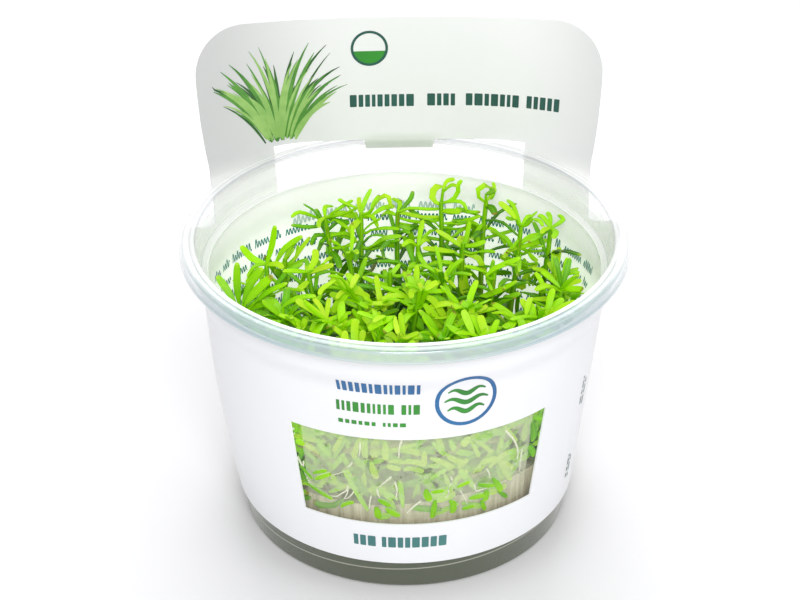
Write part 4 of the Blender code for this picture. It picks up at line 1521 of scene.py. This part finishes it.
# A copy of a template with its own mesh, laid along a line. Points are in millimetres.
def laidAlong(template, points, side, wide, thick, tone=0.5, twist=0.0):
    mesh = template.data.copy()
    count = len(mesh.vertices)
    co = np.empty(count * 3)
    mesh.vertices.foreach_get("co", co)
    co = co.reshape(-1, 3)
    line = Line(points)
    shares, inverse = np.unique(np.round(np.clip(co[:, 0], 0, 1.03), 4), return_inverse=True)
    frames = []
    for share in shares:
        inner = min(max(share, 0.02), 0.98)
        along = line.heading(inner)
        over = side.cross(along).normalized()
        across = along.cross(over)
        if twist:
            turn = Matrix.Rotation(twist * inner, 3, along)
            over, across = turn @ over, turn @ across
        place = line.at(min(share, 1.0)) + along * max(0.0, share - 1.0) * wide
        frames.append((*place, *across, *over))
    frames = np.array(frames)[inverse]
    out = frames[:, 0:3] + frames[:, 3:6] * co[:, 1:2] * wide + frames[:, 6:9] * co[:, 2:3] * thick
    mesh.vertices.foreach_set("co", (out * mm).ravel())
    made = mesh.attributes.new("tone", "FLOAT", "POINT")
    made.data.foreach_set("value", (tone + (co[:, 0] - 0.5) * 0.12).astype(np.float32))
    item = bpy.data.objects.new(template.name + "Copy", mesh)
    bpy.context.scene.collection.objects.link(item)
    return item


# Reads a packed shoot: each leaf there is a blade closed to a point, and its stem is rings
def readShoot(node):
    bm = bmesh.new()
    bm.from_mesh(node.data)
    bmesh.ops.remove_doubles(bm, verts=bm.verts[:], dist=1e-6)
    foot = min(vert.co.z for vert in bm.verts)
    tips = [v for v in bm.verts if len(v.link_faces) == 4 and v.co.z > foot + 0.2 * mm]
    leaves, blades = [], set(tips)
    for tip in tips:
        middle = [edge.other_vert(tip) for edge in tip.link_edges]
        blades.update(middle)
        base = {edge.other_vert(vert) for vert in middle for edge in vert.link_edges}
        base -= {tip, *middle}
        ends = [sum((v.co for v in group), Vector()) / len(group) / mm for group in (base, middle)]
        leaves.append((*ends, tip.co / mm))
    rings = {}
    for vert in bm.verts:
        if vert not in blades:
            rings.setdefault(round(vert.co.z / mm, 1), []).append(vert.co / mm)
    stem = [sum(ring, Vector()) / len(ring) for _, ring in sorted(rings.items())]
    bm.free()
    return stem, leaves


def inside(point, gap=1.2):  # pulled in from the wall where it would pass it
    room = innerRadius(min(point.z, 60.0)) - gap
    reach = point.xy.length
    if reach > room:
        point = Vector((point.x * room / reach, point.y * room / reach, point.z))
    return point


# One leaf that leaves a stem, with heading and rise in degrees. Droop is a share of its length.
def grownLeaf(leaf, rng, start, heading, rise, length, wide, tone, droop):
    turn, lift = math.radians(heading), math.radians(rise)
    out = Vector((math.cos(turn), math.sin(turn), 0))
    side = Vector((-out.y, out.x, 0))
    swing = side * length * rng.uniform(-0.12, 0.12)
    ahead = out * math.cos(lift) + up * math.sin(lift)
    bow = up * (length * droop * 0.35)
    middle = inside(start + ahead * length * 0.52 + bow + swing * 0.3)
    end = inside(start + ahead * length - up * (length * droop) + swing)
    return laidAlong(leaf, [start, middle, end], side, wide, plantSet["leafThick"], tone,
                     rng.uniform(-0.7, 0.7))


def tuft(leaf, rng, top, bright, count, size):  # young leaves crowd at a tip
    young, parts = plantSet["young"], []
    for number in range(count):
        start = top - up * rng.uniform(*young["below"])
        heading = number * plantSet["nextTurn"] + rng.uniform(-20, 20)
        parts.append(grownLeaf(
            leaf, rng, start, heading, rng.uniform(*young["rise"]),
            size * rng.uniform(*young["size"]), rng.uniform(*young["wide"]),
            min(1.0, bright + young["brighter"]), young["droop"],
        ))
    return parts


# One leaf followed from the picture. It leaves its own stem where the picture shows it nearest,
# on a twig of its own where that is not near, and swings back or forward to a leaf's length.
def pictureLeaf(leaf, stemTube, rng, line, traced):
    s = pictureSet
    places, wide, tone = traced
    first, last = Vector(places[0]), Vector(places[-1])
    base = min((line.at(n / 30) for n in range(31)), key=lambda p: (toPicture(p) - first).length)
    span = (last - first).length / s["unitsPerMm"]
    swing = min(s["swingMost"], s["swing"] * math.sqrt(max(0.0, s["reach"] ** 2 - span**2)))
    lean = (first.y - last.y) / max(1.0, (last - first).length)
    away = lean if abs(lean) > s["leanLeast"] else rng.choice(s["away"])
    off = (toPicture(base) - first).length > s["nearStem"]
    start = fromPicture(*places[0], base.y + (rng.uniform(*s["twigDepth"]) if off else 0.0))
    parts, points = [], [inside(start) if off else base]
    if off:
        twig = [base, (base + start) / 2 - up * s["twigSag"], inside(start)]
        parts.append(laidAlong(stemTube, twig, Vector((0, 1, 0)), *s["twig"]))
    for number, place in enumerate(places[1:], 1):
        share = number / (len(places) - 1)
        points.append(inside(fromPicture(*place, start.y + away * swing * share)))
    toEye = (Vector(cameraSet["place"]) - points[1]).normalized()
    along = (points[-1] - points[0]).normalized()
    side = along.cross(toEye * 0.7 + up * 0.5) + Vector((0.05, 0, 0))
    parts.append(laidAlong(leaf, points, side.normalized(), wide / s["unitsPerMm"] * 1.05,
                           plantSet["leafThick"], tone, rng.uniform(-s["twist"], s["twist"])))
    return parts


def makeShoots(leaf, stemTube, finish):
    s, gap, side = plantSet, plantSet["gap"], plantSet["branch"]
    rng = random.Random(s["seed"])
    for name in sorted(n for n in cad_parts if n.startswith("shoot_")):
        stem, leaves = readShoot(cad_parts[name])
        kind = s["leggy"] if stem[-1].y > s["leggyFromY"] else s["full"]
        traced = pictureSet["leaves"].get(int(name[-2:]), [])
        line = Line([*stem[::2], stem[-1]])
        top = stem[-1].z
        bright = rng.uniform(0.35, 0.8)
        parts = [laidAlong(stemTube, line.points, Vector((1, 0, 0)), *s["stem"])]
        for one in traced:
            parts += pictureLeaf(leaf, stemTube, rng, line, one)

        def toneAt(z):
            depth = (top - z) / s["toneDepth"]
            spread = rng.uniform(-s["toneSpread"], s["toneSpread"])
            return min(1.0, max(0.0, bright - s["toneFall"] * depth + spread))

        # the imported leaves, without those near a tip whose leaves follow the picture
        for start, middle, tip in leaves:
            if traced and start.z > top - 0.5 * len(traced):
                continue
            along = tip - start
            length = along.length
            across = along.cross(up).normalized()
            over = across.cross(along).normalized()
            end = tip - over * rng.uniform(-0.08, 0.16) * length
            end += across * rng.uniform(-0.1, 0.12) * length
            mid = middle + over * rng.uniform(0.0, 0.09) * length
            wide = rng.uniform(*kind["wide"])
            parts.append(laidAlong(leaf, [start, mid, inside(end)], across, wide, s["leafThick"],
                                   toneAt(start.z), rng.uniform(-0.6, 0.6)))
        for _ in range(kind["gaps"]):
            start = line.at(rng.uniform(*gap["place"]))
            parts.append(grownLeaf(
                leaf, rng, start, rng.uniform(0, 360), rng.uniform(*gap["rise"]),
                rng.uniform(*gap["length"]), rng.uniform(*kind["wide"]), toneAt(start.z),
                rng.uniform(*gap["droop"]),
            ))
        for _ in range(kind["branches"]):
            start = line.at(rng.uniform(*side["place"]))
            heading = rng.uniform(0, math.tau)
            out = Vector((math.cos(heading), math.sin(heading), 0))
            reach = rng.uniform(*side["reach"])
            tall = rng.uniform(*side["tall"]) * (top - start.z)
            tip = inside(start + out * reach + up * tall, side["fromWall"])
            branch = Line([start, start + out * reach * 0.65 + up * tall * 0.4, tip])
            parts.append(laidAlong(stemTube, branch.points, up.cross(out), *side["stem"]))
            for number in range(side["leaves"]):
                share = number / (side["leaves"] - 1)
                place = branch.at(side["leafFrom"] + side["leafSpan"] * share)
                parts.append(grownLeaf(
                    leaf, rng, place, number * s["nextTurn"] + rng.uniform(-30, 30),
                    rng.uniform(*side["rise"]), rng.uniform(*side["length"]),
                    rng.uniform(*side["wide"]), toneAt(place.z + 3), rng.uniform(*side["droop"]),
                ))
            parts += tuft(leaf, rng, tip, bright, side["tips"], side["tipSize"])
        if not traced:
            parts += tuft(leaf, rng, stem[-1], bright, kind["tips"], kind["tipSize"])
        piece = joined("leafy_" + name, parts)
        smoothBy(piece, s["smoothAngle"])
        wear(piece, finish, "leaf_green", name)


leafSet = {
    # young leaves are yellow green, old ones dark
    "stops": [
        (0.0, (0.02, 0.11, 0.001)),
        (0.3, (0.135, 0.46, 0.001)),
        (0.62, (0.43, 0.86, 0.002)),
        (1.0, (0.82, 0.98, 0.04)),
    ],
    "veinTint": (0.60, 0.90, 0.05),
    "endTint": (0.80, 0.88, 0.10),
    "brownTint": (0.30, 0.17, 0.03),
    # painted shade: leaves deep inside the mass are painted darker; heights, distances from the
    # middle line
    "shadeHeight": (47.0, 33.0),
    "shadeReach": (36.0, 31.0),
    "shadeTint": (0.012, 0.075, 0.001),
    # pale young leaves let more light through
    "throughTint": (0.37, 0.80, 0.003),
    "through": (0.04, 0.48),
    "shine": 0.22,
}


def leafFinish():
    s = leafSet
    made, wire = newMaterial("leafGreen")
    place = objectPlace(wire)
    tone = wire.node("ShaderNodeAttribute", {"attribute_name": "tone"}, {}, "Fac")
    along, across, _ = axes(wire, wire.node("ShaderNodeUVMap"))
    shade = (tone * 0.9 + wire.noise(place, 160.0, 2.0) * 0.3 - 0.12).clip()
    colour = wire.node("ShaderNodeValToRGB", {"stops": s["stops"]}, {0: shade})
    vein = across.distance(0.5).ramp(0.09, 0.02)
    colour = (vein * 0.25).clip().blend(colour, s["veinTint"])
    colour = (along.ramp(0.9, 1.0) * 0.3).clip().blend(colour, s["endTint"])
    browned = along.ramp(0.88, 0.97) * wire.noise(place, 110.0, 1.0).ramp(0.60, 0.64)
    colour = (browned * 0.8).blend(colour, s["brownTint"])
    height, reach, _ = aroundCup(wire, place)
    # painted shade on leaves low down and away from the wall
    deep = height.ramp(*s["shadeHeight"]) * reach.ramp(*s["shadeReach"])
    colour = (deep * 0.6).blend(colour, s["shadeTint"])
    ribs = wire.sum("SINE", across * 44.0)
    relief = wire.noise(place, 900.0, 2.0) + ribs * 0.25 - vein * 0.6
    surface = wire.principled(colour, wire.noise(place, 700.0, 2.0) * 0.2 + 0.22, {
        "Specular IOR Level": s["shine"],
        "Normal": wire.bump(relief, 0.3, 0.08),
    })
    through = wire.node("ShaderNodeBsdfTranslucent", {}, {"Color": s["throughTint"]})
    share = shade.ramp(0.05, 1.0, *s["through"]) * (1.0 - deep * 0.6)
    return finishMaterial(made, wire, wire.mixShaders(share, surface, through))


# Gel and the mat of roots, old stems and small leaves on it

gelSet = {
    "seed": 3,
    "low": 1.8,
    "top": 22.5,
    "slope": 0.06,
    "gap": 0.3,
    "segments": 96,
    "smoothAngle": 50,
    # upright pleats: stretched this much round the cup and up it
    "pleats": (0.036, 0.08),
    # tints: dark low down, painted shade under the sleeve; pale higher up, the gel's beige with
    # painted light from the window; paler at grazing angles, painted light through the thin edge
    "darkShadedTints": ((0.060, 0.068, 0.040), (0.10, 0.105, 0.068)),
    "paleLitTints": ((0.36, 0.33, 0.22), (0.62, 0.57, 0.42)),
    "grazingLightTint": (0.30, 0.31, 0.26),
    "paintedLineTint": (0.62, 0.60, 0.47),
    "paleLitFrom": (11.0, 17.0),
    # a painted reflection of the foot's ring, as a line: height in front, rise towards the back,
    # half width
    "line": 5.3,
    "lineRise": 10.8,
    "lineSoft": (0.26, 0.10),
    "lineEnd": (8.5, 7.5),
}


def makeGel():
    s = gelSet
    low, top = s["low"], s["top"]

    def reach(z):
        return innerRadius(z) - s["gap"]

    profile = [
        (18.0, low),
        (reach(low) - 1.6, low),
        (reach(low + 0.4) - 0.5, low + 0.35),
        (reach(low + 1.4), low + 1.4),
        (reach(8.0), 8.0),
        (reach(15.0), 15.0),
        (reach(18.0) - 0.45, 18.0),
        (reach(top) - 0.6, top),
        (reach(top) - 1.8, top - 0.35),
        (24.0, top - 0.5),
        (10.0, top - 0.4),
    ]
    gel = turnRings("agarGel", profile, s["segments"])
    rng = random.Random(s["seed"])
    # the top slopes to one side, with a slight wave along its edge
    for vert in gel.data.vertices:
        x, y, z = vert.co / mm
        share = max(0.0, (z - 15.0) / (top - 15.0))
        if vert.co.xy.length > 30 * mm and z > 20:
            z += 0.25 * math.sin(5 * math.atan2(x, y)) + rng.uniform(-0.06, 0.06)
        vert.co.z = (z + s["slope"] * x * share) * mm
    smoothBy(gel, s["smoothAngle"])
    wear(gel, gelFinish(), "gel", "gel")


def gelFinish():
    s = gelSet
    made, wire = newMaterial("agarGel")
    place = objectPlace(wire)
    _, _, z = axes(wire, place)
    height, _, turn = aroundCup(wire, place)
    around, along = s["pleats"]
    upright = wire.node("ShaderNodeCombineXYZ", {}, {0: turn * around, 1: z * along, 2: 0.0})
    pleats = wire.noise(upright, 700.0, 3.0, 0.6)
    cloud = wire.noise(place, 60.0, 4.0)
    graze = wire.node("ShaderNodeLayerWeight", {}, {"Blend": 0.5}, "Facing")

    # painted shade and light: dark below, pale above where the window lets light in, paler at
    # grazing angles
    deep = cloud.blend(*s["darkShadedTints"])
    pale = pleats.ramp(0.35, 0.65).blend(*s["paleLitTints"])
    colour = height.ramp(*s["paleLitFrom"]).blend(deep, pale)
    colour = (graze ** 3.0 * 0.5).clip().blend(colour, s["grazingLightTint"])
    # painted reflection of the foot's ring, rising towards the back
    rise = (1.0 - wire.sum("COSINE", turn)) * s["lineRise"]
    line = height.distance(s["line"] + rise).ramp(*s["lineSoft"]) * 0.45
    streak = pleats.ramp(0.62, 0.72) * 0.12
    lined = (line * height.ramp(*s["lineEnd"]) + streak).clip()
    return finishMaterial(made, wire, wire.principled(
        lined.blend(colour, s["paintedLineTint"]), cloud * 0.15 + 0.12,
        {"Normal": wire.bump(pleats, 0.25, 0.3)},
    ))


matSet = {
    "seed": 21,
    "coreReach": 33.5,
    "coreTop": 30.5,
    "segments": 60,
    # leaves at the cup's wall: how many, the share in front, heights, lowest place
    "wallLeaves": 480,
    "frontShare": 0.72,
    "wallHeight": (24.0, 43.5),
    "wallLow": 24.2,
    # one of twelve in front is pressed flat between the gel and the wall
    "pressedEvery": 12,
    "pressedHeight": (19.6, 25.0),
    "pressedLow": 19.2,
    "innerLeaves": 380,
    "innerReach": 33,
    "stems": 16,
    "roots": 22,
    # width, thickness and tone
    "stem": (1.1, 1.1, 0.25),
    "root": (0.42, 0.42, 1.0),
    "rootTone": 1.0,
    "rootDepth": 0.35,
    # tints: dark and light
    "stemTints": ((0.13, 0.22, 0.03), (0.34, 0.30, 0.12)),
    "rootTints": ((0.80, 0.78, 0.62), (0.90, 0.89, 0.80)),
}


def onWall(turn, z, depth):  # a place inside the cup, as an angle from -Y towards +X
    radius = innerRadius(z) - depth
    return Vector((radius * math.sin(turn), -radius * math.cos(turn), z))


def matCore():
    s = matSet
    top, reach = s["coreTop"], s["coreReach"]
    core = turnRings("matCore", [
        (14.0, 23.4), (30.0, 23.6), (reach, 24.4), (reach - 0.5, top - 3), (reach - 3.5, top - 0.6),
        (22.0, top), (10.0, top + 0.3),
    ], s["segments"])
    for vert in core.data.vertices:
        wobble = 1 + 0.05 * math.sin(vert.co.x * 900) * math.cos(vert.co.y * 700)
        vert.co.x *= wobble
        vert.co.y *= wobble
        wave = gelSet["slope"] * vert.co.x / mm + 0.7 * math.sin(vert.co.y * 800 + vert.co.x * 500)
        vert.co.z += wave * mm * (1 if vert.co.z > 26 * mm else 0.4)
    made = core.data.attributes.new("tone", "FLOAT", "POINT")
    made.data.foreach_set("value", [0.0] * len(core.data.vertices))
    return core


def wallLeaf(leaf, rng, number):
    s = matSet
    front = number < s["wallLeaves"] * s["frontShare"]
    turn = math.radians(rng.uniform(-58, 62) if front else rng.uniform(62, 302))
    z, low = rng.uniform(*s["wallHeight"]), s["wallLow"]
    depth = (1.6 if front else 0.45) + rng.random() ** 2 * 4.0
    if front and number % s["pressedEvery"] == 0:
        z, depth, low = rng.uniform(*s["pressedHeight"]), 0.5, s["pressedLow"]
    length = rng.uniform(5.5, 9.5)
    lean = math.radians(rng.gauss(20, 55))
    if rng.random() < 0.5:
        lean = math.pi - lean
    points = []
    for share in (0.0, 0.5, 1.0):
        along = length * share
        rise = along * math.sin(lean) * (1 - 0.12 * share)
        points.append(onWall(turn + along * math.cos(lean) / 37.0, max(low, z + rise),
                             depth + rng.uniform(-0.2, 0.5) * share))
    mid = (points[0] + points[2]) / 2
    points[1] = mid + (points[1] - mid) * 1.3
    outward = Vector((mid.x, mid.y, 0)).normalized()
    side = (points[2] - points[0]).normalized().cross(outward).normalized()
    # leaves further in from the wall are painted darker: painted shade
    tone = min(1.0, max(0.0, rng.gauss(0.72, 0.24) - depth * 0.12))
    return laidAlong(leaf, points, side, rng.uniform(1.1, 1.75), 1.8, tone, rng.uniform(-0.4, 0.4))


def windowLeaves(leaf, rng):  # those that the picture shows apart
    made = []
    for kind in ("pressed", "near", "behind"):
        for places, wide, tone in windowSet[kind + "Leaves"]:
            points = [onWallAt(x, y, windowSet[kind]) for x, y in places]
            mid = points[len(points) // 2]
            side = (points[-1] - points[0]).cross(Vector((mid.x, mid.y, 0))).normalized()
            wide = wide / pictureSet["unitsPerMm"]
            if kind == "pressed":  # flat on the wall, midrib outwards
                made.append(laidAlong(leaf, points, -side, wide, 0.8, tone))
            else:
                made.append(laidAlong(leaf, points, side, wide, 1.8, tone, rng.uniform(-0.4, 0.4)))
    return made


def innerLeaves(leaf, rng):
    made = []
    for _ in range(matSet["innerLeaves"]):
        turn = rng.uniform(0, math.tau)
        radius = matSet["innerReach"] * math.sqrt(rng.random())
        start = Vector((radius * math.sin(turn), radius * math.cos(turn), rng.uniform(27, 33)))
        start.z += gelSet["slope"] * start.x
        heading = rng.uniform(0, math.tau)
        rise = math.radians(rng.uniform(0, 55))
        out = Vector((math.cos(heading), math.sin(heading), 0))
        ahead = out * math.cos(rise) + up * math.sin(rise)
        length = rng.uniform(5, 9)
        end = start + ahead * length
        if end.xy.length > innerRadius(end.z) - 1:
            continue
        side = out.cross(up)
        middle = start + ahead * length * 0.5 + side.cross(ahead) * length * 0.08
        wide, tone = rng.uniform(1.4, 2.0), rng.uniform(0.1, 0.5)
        made.append(laidAlong(leaf, [start, middle, end], side, wide, 2.0, tone))
    return made


def looseStrands(stemTube, rootTube, rng):
    s = matSet
    made = []
    for number in range(s["stems"]):
        turn = math.radians(rng.uniform(-55, 60) if number % 2 else rng.uniform(0, 360))
        z, depth = rng.uniform(25, 36), rng.uniform(0.9, 3)
        sweep, rise = rng.uniform(-0.4, 0.4), rng.uniform(-3, 8)
        points = [
            onWall(turn + sweep * n / 4, max(24, z + rise * n / 4 + rng.uniform(-0.8, 0.8)), depth)
            for n in range(5)
        ]
        made.append(laidAlong(stemTube, points, up, *s["stem"]))
    for number in range(s["roots"]):
        turn = math.radians(rng.uniform(-40, 45) if number < 10 else rng.uniform(45, 315))
        z, depth = rng.uniform(26, 38), rng.uniform(0.35, 1.2)
        drop, sweep = rng.uniform(4, 8.5), rng.uniform(-0.16, 0.16)
        floor = 23.2 + gelSet["slope"] * 37 * math.sin(turn)
        points = [
            onWall(turn + sweep * (n / 4) ** 1.6 + rng.uniform(-0.01, 0.01),
                   max(floor, z - drop * n / 4), depth)
            for n in range(5)
        ]
        made.append(laidAlong(rootTube, points, up, *s["root"]))
    for places, wide in windowSet["roots"]:
        points = [onWallAt(x, y, s["rootDepth"]) for x, y in places]
        wide = wide / pictureSet["unitsPerMm"]
        made.append(laidAlong(rootTube, points, up, wide, wide, s["rootTone"]))
    return made


def makeMat(leaf, stemTube, rootTube, greens, roots):
    rng = random.Random(matSet["seed"])
    leaves = [matCore()]
    leaves += [wallLeaf(leaf, rng, number) for number in range(matSet["wallLeaves"])]
    leaves += windowLeaves(leaf, rng)
    leaves += innerLeaves(leaf, rng)
    mat = joined("lowerLeaves", leaves)
    smoothBy(mat, 50)
    wear(mat, greens, "leaf_green")
    strands = joined("rootTangle", looseStrands(stemTube, rootTube, rng))
    smoothBy(strands, 60)
    wear(strands, roots, "roots", "root_mat")


def rootFinish():
    made, wire = newMaterial("rootsAndStems")
    place = objectPlace(wire)
    tone = wire.node("ShaderNodeAttribute", {"attribute_name": "tone"}, {}, "Fac")
    patch = wire.noise(place, 200.0, 3.0)
    stem = patch.blend(*matSet["stemTints"])
    pale = patch.blend(*matSet["rootTints"])
    return finishMaterial(made, wire, wire.principled(
        tone.ramp(0.4, 0.8).blend(stem, pale), patch * 0.3 + 0.4,
        {"Normal": wire.bump(wire.noise(place, 1500.0, 2.0), 0.3, 0.05)},
    ))


def main():
    makeCamera()
    makeStage()
    print("stage and camera are set")
    makeCup()
    print("cup is made")
    makeSleeve()
    print("sleeve is made")
    makePrints()
    print("prints are made")
    makeGel()
    print("gel is made")
    leaf = leafTemplate("leafTemplate", plantSet["leafOutline"])
    smallLeaf = leafTemplate("smallLeafTemplate", plantSet["leafOutline"][::2])
    stemTube = tubeTemplate("stemTemplate", 8, 12, 0.25)
    rootTube = tubeTemplate("rootTemplate", 5, 7, 0.5)
    greens = leafFinish()
    makeShoots(leaf, stemTube, greens)
    print("shoots are made")
    makeMat(smallLeaf, stemTube, rootTube, greens, rootFinish())
    print("root mat is made")
    for template in (leaf, smallLeaf, stemTube, rootTube):
        bpy.data.objects.remove(template)


main()
